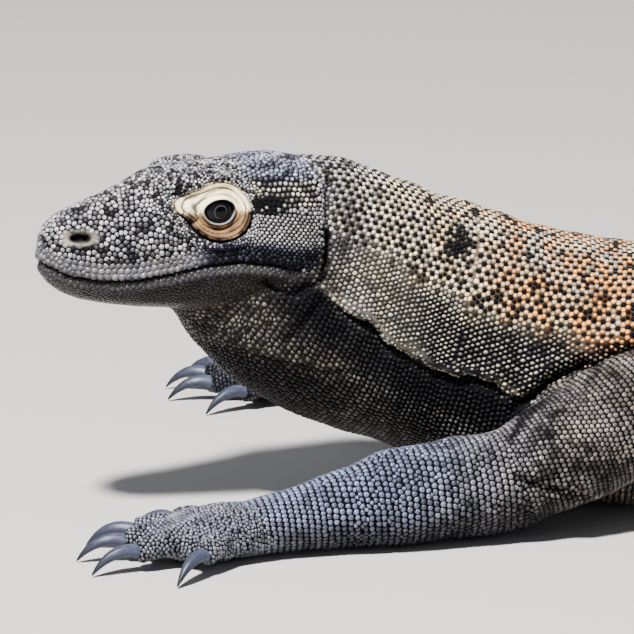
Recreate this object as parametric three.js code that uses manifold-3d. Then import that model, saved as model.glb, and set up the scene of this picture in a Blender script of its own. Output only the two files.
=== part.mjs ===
// A life-size komodo dragon (a young adult, about 2.1 m long) lying on its belly with the head raised.
// Millimetres, +Z up, the floor at z = 0. The nose points along -X, and the animal's left side faces -Y.
// The origin is on the floor under the middle of the trunk, on the flat where the belly rests.
//
// Head, neck, trunk and tail are drawn straight first: `a` is the distance back from the nose, `u` the
// distance out to the animal's right, and z the height. A list of headings then bends them in plan.
import * as THREE from "three";
import { mergeVertices } from "three/addons/utils/BufferGeometryUtils.js";
import Module from "manifold-3d";

const wasm = await Module();
wasm.setup();

// ---------- driving dimensions ----------
const TOTAL_LENGTH = 2130;
const HEAD_LENGTH = 160; // nose to ear
const SHOULDER_AT = 354; // distance of the shoulder from the nose
const VENT_AT = 960;
const SHOULDER_X = -250; // where the shoulder stands in plan
const GAP = 0.3; // clearance between neighbouring pieces
const PLAN_STEP = 2; // step of the plan curve's integration

// Features of the head: where each stands on the straight animal, and its half-sizes along a, u and z.
const EYE = { a: 98, u: 20.4, z: 184.5, radius: 12 };
const EYE_OPENING = { halfLength: 9, halfHeight: 6.6 };
const NOSTRIL = { a: 20, u: 17, z: 171.6, size: [5, 4, 2.2] };
const EAR = { a: 159, u: 40, z: 157, size: [2.4, 5.4, 12] };
const BROW = { a: 92, u: 21, z: 200, size: [21, 8.5, 7] };
const ORBIT = { a: 98, u: 21.5, z: 184, size: [20, 9.8, 15] };

// Heading of the backbone in plan, in degrees from +X, at distances back from the nose.
const HEADINGS = [
  { a: 0, heading: 20 },
  { a: 140, heading: 20 },
  { a: 200, heading: 14 },
  { a: 260, heading: 4 },
  { a: 330, heading: -2 },
  { a: 420, heading: 0 },
  { a: 900, heading: 0 },
  { a: 1050, heading: -9 },
  { a: 1300, heading: -15 },
  { a: 1520, heading: 0 },
  { a: 1760, heading: 22 },
  { a: TOTAL_LENGTH, heading: 34 },
];

// Cross-sections. Each stands on a line from (aLow, low) to (aTop, top). `half` is half the width, `waist`
// the share of the height at which it is widest, `crown` and `keel` how square the upper and lower halves
// are (2 is an ellipse), and `taper` how much the upper half narrows.
const section = (aTop, top, aLow, low, half, waist, crown, keel, taper = 0) => ({
  aTop, top, aLow, low, half, waist, crown, keel, taper,
});

const HEAD_SECTIONS = [
  section(0.0, 167, 0.0, 153, 4, 0.45, 2.2, 2.2),
  section(1.5, 174, 1.5, 148, 9, 0.42, 2.2, 2.2),
  section(5.0, 179, 5.0, 143.5, 14, 0.38, 2.3, 2.2, 0.08),
  section(12, 184, 12, 138, 18.5, 0.36, 2.4, 2.2, 0.16),
  section(22, 188, 22, 133.5, 21.5, 0.36, 2.4, 2.2, 0.22),
  section(38, 193.5, 38, 129.5, 25, 0.36, 2.4, 2.2, 0.25),
  section(52, 199, 52, 127, 28, 0.36, 2.5, 2.2, 0.26),
  section(64, 205, 64, 125.5, 31, 0.37, 2.6, 2.3, 0.26),
  section(78, 207, 78, 124, 34, 0.38, 2.8, 2.3, 0.24),
  section(95, 207, 95, 122.5, 37.5, 0.39, 2.8, 2.3, 0.22),
  section(112, 208, 112, 121, 40.5, 0.41, 2.7, 2.3, 0.2),
  section(130, 209, 130, 120, 42.5, 0.43, 2.6, 2.3, 0.16),
  section(145, 208, 145, 121, 43, 0.45, 2.5, 2.4, 0.12),
  section(157, 205, 157, 126, 41, 0.46, 2.4, 2.4, 0.08),
  section(167, 197, 165, 137, 33, 0.5, 2.2, 2.2),
  section(174, 178, 172, 152, 18, 0.5, 2.0, 2.0),
];

const BODY_SECTIONS = [
  section(141, 199, 78, 124, 24, 0.5, 2.0, 2.0),
  section(163, 206, 88, 106, 35, 0.48, 2.1, 2.0),
  section(184, 202.5, 115, 76, 43, 0.47, 2.1, 2.0),
  section(209, 192, 149, 54, 48, 0.46, 2.1, 2.0),
  section(236, 179.5, 191, 37, 54, 0.45, 2.1, 2.1),
  section(269, 168, 232, 23, 61, 0.44, 2.1, 2.1),
  section(299, 157, 274, 9, 69, 0.42, 2.1, 2.2),
  section(332, 149, 319, -1, 78, 0.41, 2.1, 2.3),
  section(359, 146, 354, -3, 85, 0.4, 2.1, 2.4),
  section(410, 145, 410, -3, 93, 0.39, 2.1, 2.5),
  section(490, 148, 490, -3, 104, 0.38, 2.1, 2.6),
  section(600, 150, 600, -3, 111, 0.37, 2.1, 2.6),
  section(710, 145, 710, -3, 106, 0.37, 2.1, 2.6),
  section(790, 134, 790, -3, 94, 0.38, 2.1, 2.5),
  section(850, 122, 850, -2, 80, 0.4, 2.1, 2.4),
  section(905, 109, 905, -2, 65, 0.42, 2.1, 2.3),
  section(VENT_AT, 97, VENT_AT, -1, 54, 0.43, 2.0, 2.2),
  section(1050, 86, 1050, -1.5, 43, 0.44, 1.9, 2.2),
  section(1200, 73, 1200, -1.5, 33, 0.45, 1.9, 2.1),
  section(1400, 59, 1400, -1.5, 24.5, 0.45, 1.9, 2.1),
  section(1600, 45.5, 1600, -1.5, 17.5, 0.45, 1.9, 2.0),
  section(1800, 32, 1800, -1.5, 12, 0.45, 1.9, 2.0),
  section(1970, 21, 1970, -1.5, 8, 0.46, 1.9, 2.0),
  section(2080, 12.5, 2080, -1.5, 5, 0.48, 2.0, 2.0),
  section(2118, 8, 2118, -0.6, 3, 0.5, 2.0, 2.0),
  section(TOTAL_LENGTH, 4.5, TOTAL_LENGTH, 1.5, 1, 0.5, 2.0, 2.0),
];

// The mouth's line from the lips to its corner, as distances back and heights.
const MOUTH_LINE = [[-6, 158], [1, 157], [12, 151.4], [30, 147.8], [50, 147.6], [69, 150.8], [88, 154.6],
  [108, 156], [127, 153]];
const MOUTH_CORNER = [140, 149];
const LIP_PARTING = { height: 1.0, back: 64 }; // how far the lips part in front, and where that ends
const UNDER_JAW = 60; // a height below all of the jaw

// Where the trunk and tail are parted.
const TRUNK_CUTS = [354, 560, 770, VENT_AT];
const TAIL_CUTS = [1180, 1420, 1670, 1910];

// Limbs: each stop is a point with its half-width and half-height. Left is -Y.
const stop = (x, y, z, half, tall) => ({ point: new THREE.Vector3(x, y, z), half, tall });

const LEFT_ARM = {
  upper: [stop(-222, -52, 76, 35, 38), stop(-262, -74, 62, 33, 36), stop(-296, -87, 46, 31, 33),
    stop(-322, -93, 35, 27, 29)],
  lower: [stop(-314, -92, 33, 25, 29), stop(-350, -100, 31, 27, 30), stop(-394, -112, 27, 25, 27.5),
    stop(-434, -123, 21, 19, 20), stop(-468, -131, 17, 18, 16)],
  palm: [stop(-463, -130, 16, 19, 15), stop(-487, -135, 15, 26, 15.5), stop(-507, -138, 13, 28, 14)],
  heading: 190,
};
const RIGHT_ARM = {
  upper: [stop(-222, 52, 76, 35, 38), stop(-258, 80, 62, 33, 36), stop(-288, 102, 46, 31, 33),
    stop(-308, 116, 35, 27, 29)],
  lower: [stop(-302, 113, 33, 25, 29), stop(-330, 131, 31, 27, 30), stop(-366, 153, 27, 25, 27.5),
    stop(-400, 173, 21, 19, 20), stop(-428, 187, 17, 18, 16)],
  palm: [stop(-423, 185, 16, 19, 15), stop(-448, 195, 15, 26, 15.5), stop(-467, 202, 13, 28, 14)],
  heading: 166,
};
const LEFT_LEG = {
  upper: [stop(268, -46, 66, 46, 50), stop(238, -92, 56, 44, 46), stop(206, -134, 44, 36, 37),
    stop(190, -152, 38, 31, 33)],
  lower: [stop(192, -150, 36, 29, 31), stop(222, -160, 33, 30, 31), stop(256, -172, 25, 22, 23),
    stop(284, -180, 18, 19, 17)],
  palm: [stop(286, -184, 16, 18, 16), stop(268, -199, 15, 23, 15.5), stop(244, -217, 13, 28, 14)],
  heading: 216,
};

// Digits, thumb side first: angle from the paw's heading towards the thumb, reach beyond the knuckles,
// where it leaves the palm (share of the palm's half-width, and distance back), and its root radius.
const FINGERS = [
  { turn: 44, reach: 24, across: 0.72, back: 15, root: 8.5 },
  { turn: 18, reach: 33, across: 0.4, back: 4, root: 9 },
  { turn: 2, reach: 36, across: 0.02, back: 1, root: 9.2 },
  { turn: -14, reach: 35, across: -0.38, back: 3, root: 9 },
  { turn: -48, reach: 20, across: -0.68, back: 18, root: 8.3 },
];
const TOES = [
  { turn: 36, reach: 28, across: 0.72, back: 16, root: 8.5 },
  { turn: 18, reach: 44, across: 0.42, back: 5, root: 9 },
  { turn: 4, reach: 57, across: 0.06, back: 1, root: 9.4 },
  { turn: -9, reach: 70, across: -0.36, back: 1, root: 9.4 },
  { turn: -52, reach: 42, across: -0.72, back: 24, root: 8.4 },
];
// A digit's flesh: share of its reach, height, and half-width and half-height as shares of its root.
const DIGIT_STOPS = [
  { share: -0.15, z: 11, half: 1, tall: 1.1 },
  { share: 0.38, z: 15, half: 0.95, tall: 1 },
  { share: 0.72, z: 13.5, half: 0.86, tall: 0.9 },
  { share: 1.05, z: 11, half: 0.72, tall: 0.8 },
];
// A claw starts at height z, rises and then droops to its point. Its base is `half` wide and `tall` high.
const CLAW = { length: 31, z: 12, rise: 9, droop: 19.8, half: 3.9, tall: 6, foreshorten: 0.12, point: 0.1 };
const CLAW_STOPS = [-0.06, 0.33, 0.67, 1];
const ROUND_END = { shrink: 0.62, reach: 0.6 }; // how a limb's end closes, in shares of its half-width

// Faces around each kind of piece, and rings along a ball for each face around it.
const AROUND = { body: 16, head: 18, limb: 10, palm: 8, digit: 6, claw: 5, ball: 12, bump: 10, pit: 8 };
const RINGS_PER_SIDE = 0.66;

const MATERIALS = {
  headHide: new THREE.MeshStandardMaterial({ color: 0x55565a, roughness: 0.62, metalness: 0 }),
  bodyHide: new THREE.MeshStandardMaterial({ color: 0x6a5a48, roughness: 0.66, metalness: 0 }),
  limbHide: new THREE.MeshStandardMaterial({ color: 0x4a4d54, roughness: 0.64, metalness: 0 }),
  horn: new THREE.MeshStandardMaterial({ color: 0x2f3136, roughness: 0.4, metalness: 0 }),
  eye: new THREE.MeshStandardMaterial({ color: 0x1d120c, roughness: 0.08, metalness: 0 }),
};

// ---------- interpolation along a table ----------
// Reads every number of a table's rows at `at`, on a smooth curve through them. `key` names the position.
function read(rows, key, at) {
  let i = 0;
  while (i < rows.length - 2 && rows[i + 1][key] < at) i += 1;
  const before = rows[Math.max(i - 1, 0)];
  const from = rows[i];
  const to = rows[i + 1];
  const after = rows[Math.min(i + 2, rows.length - 1)];
  const span = to[key] - from[key];
  const t = THREE.MathUtils.clamp((at - from[key]) / span, 0, 1);
  const result = {};
  for (const name of Object.keys(from)) {
    const slopeFrom = ((to[name] - before[name]) / (to[key] - before[key])) * span;
    const slopeTo = ((after[name] - from[name]) / (after[key] - from[key])) * span;
    result[name] =
      from[name] * (1 + 2 * t) * (1 - t) ** 2 + slopeFrom * t * (1 - t) ** 2 +
      to[name] * t * t * (3 - 2 * t) + slopeTo * t * t * (t - 1);
  }
  return result;
}

// ---------- the bend in plan ----------
const headingAt = (a) => THREE.MathUtils.degToRad(read(HEADINGS, "a", a).heading);
const planPoints = [new THREE.Vector2(0, 0)];
for (let a = PLAN_STEP / 2; a < TOTAL_LENGTH; a += PLAN_STEP) {
  const step = new THREE.Vector2(Math.cos(headingAt(a)), Math.sin(headingAt(a))).multiplyScalar(PLAN_STEP);
  planPoints.push(planPoints[planPoints.length - 1].clone().add(step));
}
const anchor = planPoints[Math.round(SHOULDER_AT / PLAN_STEP)].clone();
planPoints.forEach((point) => point.sub(anchor).add(new THREE.Vector2(SHOULDER_X, 0)));

// The point (a, u, z) of the straight animal, in the bent animal's frame.
function place(a, u, z) {
  const along = THREE.MathUtils.clamp(a, 0, TOTAL_LENGTH) / PLAN_STEP;
  const i = Math.min(Math.floor(along), planPoints.length - 2);
  const heading = headingAt(THREE.MathUtils.clamp(a, 0, TOTAL_LENGTH));
  const centre = planPoints[i].clone().lerp(planPoints[i + 1], along - i);
  const beyond = a - THREE.MathUtils.clamp(a, 0, TOTAL_LENGTH);
  return new THREE.Vector3(
    centre.x + beyond * Math.cos(heading) - u * Math.sin(heading),
    centre.y + beyond * Math.sin(heading) + u * Math.cos(heading),
    z,
  );
}
// ---------- solids ----------
function solid(geometry) {
  const bare = new THREE.BufferGeometry();
  bare.setAttribute("position", geometry.getAttribute("position"));
  bare.setIndex(geometry.index);
  const merged = mergeVertices(bare, 1e-3);
  return new wasm.Manifold(new wasm.Mesh({
    numProp: 3,
    vertProperties: new Float32Array(merged.attributes.position.array),
    triVerts: new Uint32Array(merged.index.array),
  }));
}

// A closed skin over rings of points that all have the same count, with a point at each end.
function loft(rings) {
  const count = rings[0].length;
  const points = rings.flat();
  const faces = [];
  for (let r = 0; r + 1 < rings.length; r += 1)
    for (let i = 0; i < count; i += 1) {
      const here = r * count + i;
      const beside = r * count + ((i + 1) % count);
      faces.push(here, beside, here + count, beside, beside + count, here + count);
    }
  const centreOf = (ring) => ring.reduce((sum, p) => sum.add(p), new THREE.Vector3()).divideScalar(count);
  const last = (rings.length - 1) * count;
  points.push(centreOf(rings[0]), centreOf(rings[rings.length - 1]));
  for (let i = 0; i < count; i += 1) {
    const beside = (i + 1) % count;
    faces.push(points.length - 2, beside, i, points.length - 1, last + i, last + beside);
  }
  const geometry = new THREE.BufferGeometry().setFromPoints(points);
  geometry.setIndex(faces);
  const made = solid(geometry);
  if (made.volume() > 0) return made;
  for (let i = 0; i < faces.length; i += 3) [faces[i], faces[i + 1]] = [faces[i + 1], faces[i]];
  geometry.setIndex(faces);
  return solid(geometry);
}

const power = (value, square) => Math.sign(value) * Math.abs(value) ** (2 / square);

// One ring of the straight animal's outline, bent in plan and grown by `grow`.
function bodyRing(s, around, grow) {
  return Array.from({ length: around }, (_, i) => {
    const angle = (2 * Math.PI * (i + 0.5)) / around;
    const upper = Math.sin(angle) > 0;
    const square = upper ? s.crown : s.keel;
    const rise = power(Math.sin(angle), square);
    const share = upper ? s.waist + (1 - s.waist) * rise : s.waist * (1 + rise);
    const narrowed = upper ? 1 - s.taper * rise : 1;
    const u = (s.half + grow) * power(Math.cos(angle), square) * narrowed;
    const a = s.aLow + (s.aTop - s.aLow) * share;
    return place(a, u, s.low - grow + (s.top - s.low + 2 * grow) * share);
  });
}

function bodyLoft(sections, perSpan, around, grow = 0) {
  const rows = sections.map((s, i) => ({ ...s, order: i }));
  rows[0] = { ...rows[0], aTop: rows[0].aTop - grow, aLow: rows[0].aLow - grow };
  const end = rows.length - 1;
  rows[end] = { ...rows[end], aTop: rows[end].aTop + grow, aLow: rows[end].aLow + grow };
  const rings = [];
  for (let i = 0; i < end; i += 1)
    for (let k = 0; k < perSpan(rows[i]); k += 1)
      rings.push(bodyRing(read(rows, "order", i + k / perSpan(rows[i])), around, grow));
  rings.push(bodyRing(rows[end], around, grow));
  return loft(rings);
}

// A limb, digit or claw: ellipses along a smooth line through the stops, closed by flat or round ends.
function tube(stops, around, roundEnds, grow = 0) {
  const line = new THREE.CatmullRomCurve3(stops.map((s) => s.point), false, "centripetal");
  const sizes = stops.map((s, i) => ({ order: i, half: s.half + grow, tall: s.tall + grow }));
  const steps = stops.length - 1;
  const rings = [];
  const ringAt = (share, scale, shift) => {
    const tangent = line.getTangent(share);
    const centre = line.getPoint(share).addScaledVector(tangent, shift);
    const size = read(sizes, "order", share * (stops.length - 1));
    const side = new THREE.Vector3(0, 0, 1).cross(tangent).normalize();
    const up = tangent.clone().cross(side);
    return Array.from({ length: around }, (_, i) => {
      const angle = (2 * Math.PI * (i + 0.5)) / around;
      return centre.clone()
        .addScaledVector(side, size.half * scale * Math.cos(angle))
        .addScaledVector(up, size.tall * scale * Math.sin(angle));
    });
  };
  for (let i = 0; i <= steps; i += 1) rings.push(ringAt(i / steps, 1, 0));
  if (roundEnds) {
    rings.unshift(ringAt(0, ROUND_END.shrink, -ROUND_END.reach * stops[0].half - grow));
    rings.push(ringAt(1, ROUND_END.shrink, ROUND_END.reach * stops[steps].half + grow));
  }
  return loft(rings);
}

const FLOOR_NORMAL = [0, 0, 1];
const onFloor = (shape) => shape.trimByPlane(FLOOR_NORMAL, 0);

// The part of a shape from `from` to `to` along the backbone, with half a gap left at each cut.
function stretch(shape, from, to) {
  const behind = (a, side) => {
    const normal = [Math.cos(headingAt(a)) * side, Math.sin(headingAt(a)) * side, 0];
    const point = place(a, 0, 0);
    return [normal, normal[0] * point.x + normal[1] * point.y + GAP / 2];
  };
  let cut = shape;
  if (from !== null) cut = cut.trimByPlane(...behind(from, 1));
  if (to !== null) cut = cut.trimByPlane(...behind(to, -1));
  return cut;
}

function ellipsoid(feature, side, grow = 0, around = AROUND.bump) {
  const shape = new THREE.SphereGeometry(1, around, Math.round(around * RINGS_PER_SIDE));
  const turn = new THREE.Matrix4().makeRotationZ(headingAt(feature.a));
  shape.scale(feature.size[0] + grow, feature.size[1] + grow, feature.size[2] + grow);
  shape.applyMatrix4(turn);
  const centre = place(feature.a, side * feature.u, feature.z);
  shape.translate(centre.x, centre.y, centre.z);
  return solid(shape);
}

// ---------- head ----------
const SIDES = { left: -1, right: 1 };

const eyeBall = (side, grow = 0) =>
  ellipsoid({ ...EYE, size: [EYE.radius, EYE.radius, EYE.radius] }, side, grow, AROUND.ball);

// The opening between the lids: an elliptic hole through the orbit's wall, square to the side of the head.
function lidOpening(side) {
  const shape = new THREE.CylinderGeometry(1, 1, 2 * EYE.radius, AROUND.ball);
  shape.scale(EYE_OPENING.halfLength, 1, EYE_OPENING.halfHeight);
  shape.applyMatrix4(new THREE.Matrix4().makeRotationZ(headingAt(EYE.a)));
  const centre = place(EYE.a, side * (EYE.u + EYE.radius), EYE.z);
  shape.translate(centre.x, centre.y, centre.z);
  return solid(shape);
}

// Everything below the mouth's line and ahead of its corner, as a thick plate drawn in (a, z), moved in
// from that line by `inset`. The jaw's own plate also parts from the upper lip in front.
function jawRegion(inset) {
  const outline = new THREE.Shape();
  MOUTH_LINE.forEach(([a, z], i) => {
    const parted = inset > 0 ? LIP_PARTING.height * Math.max(0, 1 - a / LIP_PARTING.back) : 0;
    const height = z - inset - parted;
    if (i === 0) outline.moveTo(a, height);
    else outline.lineTo(a, height);
  });
  outline.lineTo(MOUTH_CORNER[0] - inset, MOUTH_CORNER[1] - inset);
  outline.lineTo(MOUTH_CORNER[0] - inset, UNDER_JAW);
  outline.lineTo(MOUTH_LINE[0][0], UNDER_JAW);
  const depth = 2 * HEAD_LENGTH;
  const shape = new THREE.ExtrudeGeometry(outline, { depth, bevelEnabled: false, curveSegments: 1 });
  shape.translate(0, 0, -depth / 2);
  shape.applyMatrix4(new THREE.Matrix4().makeRotationX(Math.PI / 2));
  shape.applyMatrix4(new THREE.Matrix4().makeRotationZ(headingAt(0)));
  const nose = place(0, 0, 0);
  shape.translate(nose.x, nose.y, 0);
  return solid(shape);
}

function skull(grow = 0) {
  let shape = bodyLoft(HEAD_SECTIONS, () => 1, AROUND.head, grow);
  for (const side of Object.values(SIDES))
    shape = shape.add(ellipsoid(BROW, side, grow)).add(ellipsoid(ORBIT, side, grow));
  return shape;
}

function headPieces() {
  let whole = skull();
  for (const side of Object.values(SIDES)) {
    whole = whole.subtract(eyeBall(side, GAP)).subtract(lidOpening(side));
    for (const pit of [NOSTRIL, EAR]) whole = whole.subtract(ellipsoid(pit, side, 0, AROUND.pit));
  }
  return {
    head: whole.subtract(jawRegion(-GAP / 2)),
    jaw: whole.intersect(jawRegion(GAP / 2)),
  };
}

// ---------- limbs ----------
// Digit `d` of a paw, with its claw: the digit arches up from the palm and comes down to the floor, and
// the claw goes on from its end and curves down to a point on the floor.
function digit(limb, d, side) {
  const palm = limb.palm[limb.palm.length - 1];
  const heading = THREE.MathUtils.degToRad(limb.heading);
  const forward = new THREE.Vector3(Math.cos(heading), Math.sin(heading), 0);
  const thumbward = new THREE.Vector3(-Math.sin(heading), Math.cos(heading), 0).multiplyScalar(side);
  const turn = THREE.MathUtils.degToRad(d.turn);
  const out = forward.clone().multiplyScalar(Math.cos(turn)).addScaledVector(thumbward, Math.sin(turn));
  const root = palm.point.clone()
    .addScaledVector(thumbward, d.across * palm.half)
    .addScaledVector(forward, -d.back);
  const along = (distance, z, half, tall) => {
    const point = root.clone().addScaledVector(out, distance);
    return { point: point.setZ(z), half, tall };
  };
  const flesh = DIGIT_STOPS.map((f) => along(d.reach * f.share, f.z, d.root * f.half, d.root * f.tall));
  const claw = CLAW_STOPS.map((share) => {
    const thin = 1 - (1 - CLAW.point) * Math.max(share, 0) ** 1.5;
    const distance = d.reach + GAP + CLAW.length * share * (1 - CLAW.foreshorten * share);
    const z = CLAW.z + CLAW.rise * share - CLAW.droop * share * share;
    return along(distance, z, CLAW.half * thin, CLAW.tall * thin);
  });
  const end = out.dot(root) + d.reach;
  return {
    flesh: tube(flesh, AROUND.digit, false).trimByPlane(out.clone().negate().toArray(), -end),
    claw: tube(claw, AROUND.claw, false).trimByPlane(out.toArray(), end + GAP),
  };
}

function limbPieces(limb, digits, side, names, body) {
  const [upperName, lowerName, pawName, clawName] = names;
  const upper = tube(limb.upper, AROUND.limb, true);
  const lower = tube(limb.lower, AROUND.limb, true);
  const palm = tube(limb.palm, AROUND.palm, true);
  const grownLower = tube(limb.lower, AROUND.limb, true, GAP);
  const made = digits.map((d) => digit(limb, d, side));
  const pieces = {
    [upperName]: upper.subtract(body).subtract(grownLower),
    [lowerName]: lower.subtract(tube(limb.palm, AROUND.palm, true, GAP)),
    [pawName]: made.reduce((sum, d) => sum.add(d.flesh.subtract(grownLower)), palm),
  };
  made.forEach((d, i) => { pieces[`${clawName}_${i + 1}`] = d.claw; });
  return pieces;
}

const mirrored = (limb) => ({
  ...Object.fromEntries(["upper", "lower", "palm"].map((part) => [part,
    limb[part].map((s) => ({ ...s, point: s.point.clone().multiply(new THREE.Vector3(1, -1, 1)) }))])),
  heading: -limb.heading,
});

// ---------- assembly ----------
const perSpan = (s) => (s.aLow > TAIL_CUTS[0] && s.aLow < TAIL_CUTS[3] ? 2 : 1);
const pieces = headPieces();
const body = bodyLoft(BODY_SECTIONS, perSpan, AROUND.body);
const grownBody = bodyLoft(BODY_SECTIONS, perSpan, AROUND.body, GAP);

pieces.neck = stretch(body.subtract(skull(GAP)), null, TRUNK_CUTS[0]);
["chest", "belly", "hips"].forEach((name, i) => {
  pieces[name] = stretch(body, TRUNK_CUTS[i], TRUNK_CUTS[i + 1]);
});
[VENT_AT, ...TAIL_CUTS].forEach((from, i) => {
  pieces[`tail_${i + 1}`] = stretch(body, from, TAIL_CUTS[i] ?? null);
});
for (const [name, side] of Object.entries(SIDES)) {
  pieces[`eye_${name}`] = eyeBall(side);
  const arm = side < 0 ? LEFT_ARM : RIGHT_ARM;
  const leg = side < 0 ? LEFT_LEG : mirrored(LEFT_LEG);
  const armNames = [`upper_arm_${name}`, `forearm_${name}`, `hand_${name}`, `claw_hand_${name}`];
  const legNames = [`thigh_${name}`, `shank_${name}`, `foot_${name}`, `claw_foot_${name}`];
  Object.assign(pieces, limbPieces(arm, FINGERS, side, armNames, grownBody));
  Object.assign(pieces, limbPieces(leg, TOES, side, legNames, grownBody));
}

function materialFor(name) {
  if (name.startsWith("claw")) return MATERIALS.horn;
  if (name.startsWith("eye")) return MATERIALS.eye;
  if (name === "head" || name === "jaw") return MATERIALS.headHide;
  if (/^(upper_arm|forearm|hand|thigh|shank|foot)/.test(name)) return MATERIALS.limbHide;
  return MATERIALS.bodyHide;
}

const dragon = new THREE.Group();
for (const [name, shape] of Object.entries(pieces)) {
  const { vertProperties, triVerts } = onFloor(shape).getMesh();
  const geometry = new THREE.BufferGeometry();
  geometry.setAttribute("position", new THREE.BufferAttribute(vertProperties, 3));
  geometry.setIndex(new THREE.BufferAttribute(triVerts, 1));
  geometry.computeVertexNormals();
  const mesh = new THREE.Mesh(geometry, materialFor(name));
  mesh.name = name;
  dragon.add(mesh);
}

export default dragon;
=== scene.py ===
"""A life-size komodo dragon, lying on its belly with the head raised.

One skin stands for all the flesh, and modelled scales lie over it. Eyes and claws are pieces of their own.
Lengths of the animal are in millimetres on the straight animal: `a` back from the nose, `u` out to the
animal's right and `z` up. `Backbone` bends them into the frame, which is in metres.
"""

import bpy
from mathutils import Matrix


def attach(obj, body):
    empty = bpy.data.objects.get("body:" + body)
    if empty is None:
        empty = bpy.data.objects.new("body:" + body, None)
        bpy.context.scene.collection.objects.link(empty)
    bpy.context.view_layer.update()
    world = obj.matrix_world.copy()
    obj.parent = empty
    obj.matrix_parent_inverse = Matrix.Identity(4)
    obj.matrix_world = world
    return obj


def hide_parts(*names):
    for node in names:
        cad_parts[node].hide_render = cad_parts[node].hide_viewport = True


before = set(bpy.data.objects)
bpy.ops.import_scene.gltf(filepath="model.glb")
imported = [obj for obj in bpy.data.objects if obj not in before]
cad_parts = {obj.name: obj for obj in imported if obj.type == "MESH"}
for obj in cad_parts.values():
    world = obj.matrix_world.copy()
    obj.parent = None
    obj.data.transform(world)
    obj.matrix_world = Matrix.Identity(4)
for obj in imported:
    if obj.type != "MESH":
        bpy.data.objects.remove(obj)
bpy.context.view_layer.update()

import logging
import math
from dataclasses import dataclass, field
from enum import Enum
from functools import cache

import bmesh
import bpy
import numpy as np
from bpy.types import ID, Material, Mesh, Node, NodeSocket, NodeTree, Object
from mathutils import Vector, noise
from mathutils.bvhtree import BVHTree
from mathutils.kdtree import KDTree

log = logging.getLogger("komodo")

MM = 0.001  # one millimetre in the frame's metres
ABOVE_FLOOR = 0.6 * MM  # no scale stands lower than this
NOISE_STEP, NOISE_GAIN = 17.3, 1.6  # from one seed's clouds to the next's, and what brings them to -1 to 1
SIDES = {"left": -1, "right": 1}
Array = np.ndarray


# ---- numbers

def smooth(low: float, high: float, value: Array) -> Array:
    """A soft step.

    Args:
        low: where it is 0.
        high: where it is 1; it may be below `low`.
        value: the values read.

    Returns:
        The step's height at each value.
    """
    t = np.clip((value - low) / (high - low), 0.0, 1.0)
    return t * t * (3.0 - 2.0 * t)


def bell(value: Array, centre: float, width: float) -> Array:
    """A soft bump of height 1 at `centre`.

    Args:
        value: the values read.
        centre: where the bump stands.
        width: distance over which it falls to about a third.

    Returns:
        The bump's height at each value.
    """
    return np.exp(-(((value - centre) / width) ** 2))


def curve(table: list[tuple[float, ...]], at: Array, column: int = 1) -> Array:
    """Reads a table of (position, value, ...) rows, straight between rows.

    Args:
        table: rows in rising position.
        at: the positions read.
        column: which value of each row.

    Returns:
        The value at each position.
    """
    return np.interp(at, [row[0] for row in table], [row[column] for row in table])


def above(line: tuple, straight: Array) -> Array:
    """Height of each point of the straight animal above a line of (a, z) stops."""
    return straight[:, 2] - curve(line, straight[:, 0])


def mixed(first: Array, share: Array, second: Array) -> Array:
    """Values that go from the first to the second as the share goes from 0 to 1."""
    return first * (1 - share) + share * second


def clouds(points: Array, size: float, seed: float) -> Array:
    """Soft noise of the given grain.

    Args:
        points: places in millimetres, one row each.
        size: distance between one cloud and the next, in millimetres.
        seed: moves the pattern.

    Returns:
        A value from about -1 to 1 for each point.
    """
    shifted = points / size + seed * NOISE_STEP
    return np.array([noise.noise(Vector(p)) for p in shifted.tolist()]) * NOISE_GAIN


def unit(vectors: Array) -> Array:
    """The same vectors at length 1."""
    return vectors / np.maximum(np.linalg.norm(vectors, axis=1, keepdims=True), 1e-12)


def search_tree(points: Array) -> KDTree:
    """A search tree over places."""
    tree = KDTree(len(points))
    for i, p in enumerate(points):
        tree.insert(p, i)
    tree.balance()
    return tree


# ---- the animal's own frame

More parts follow.
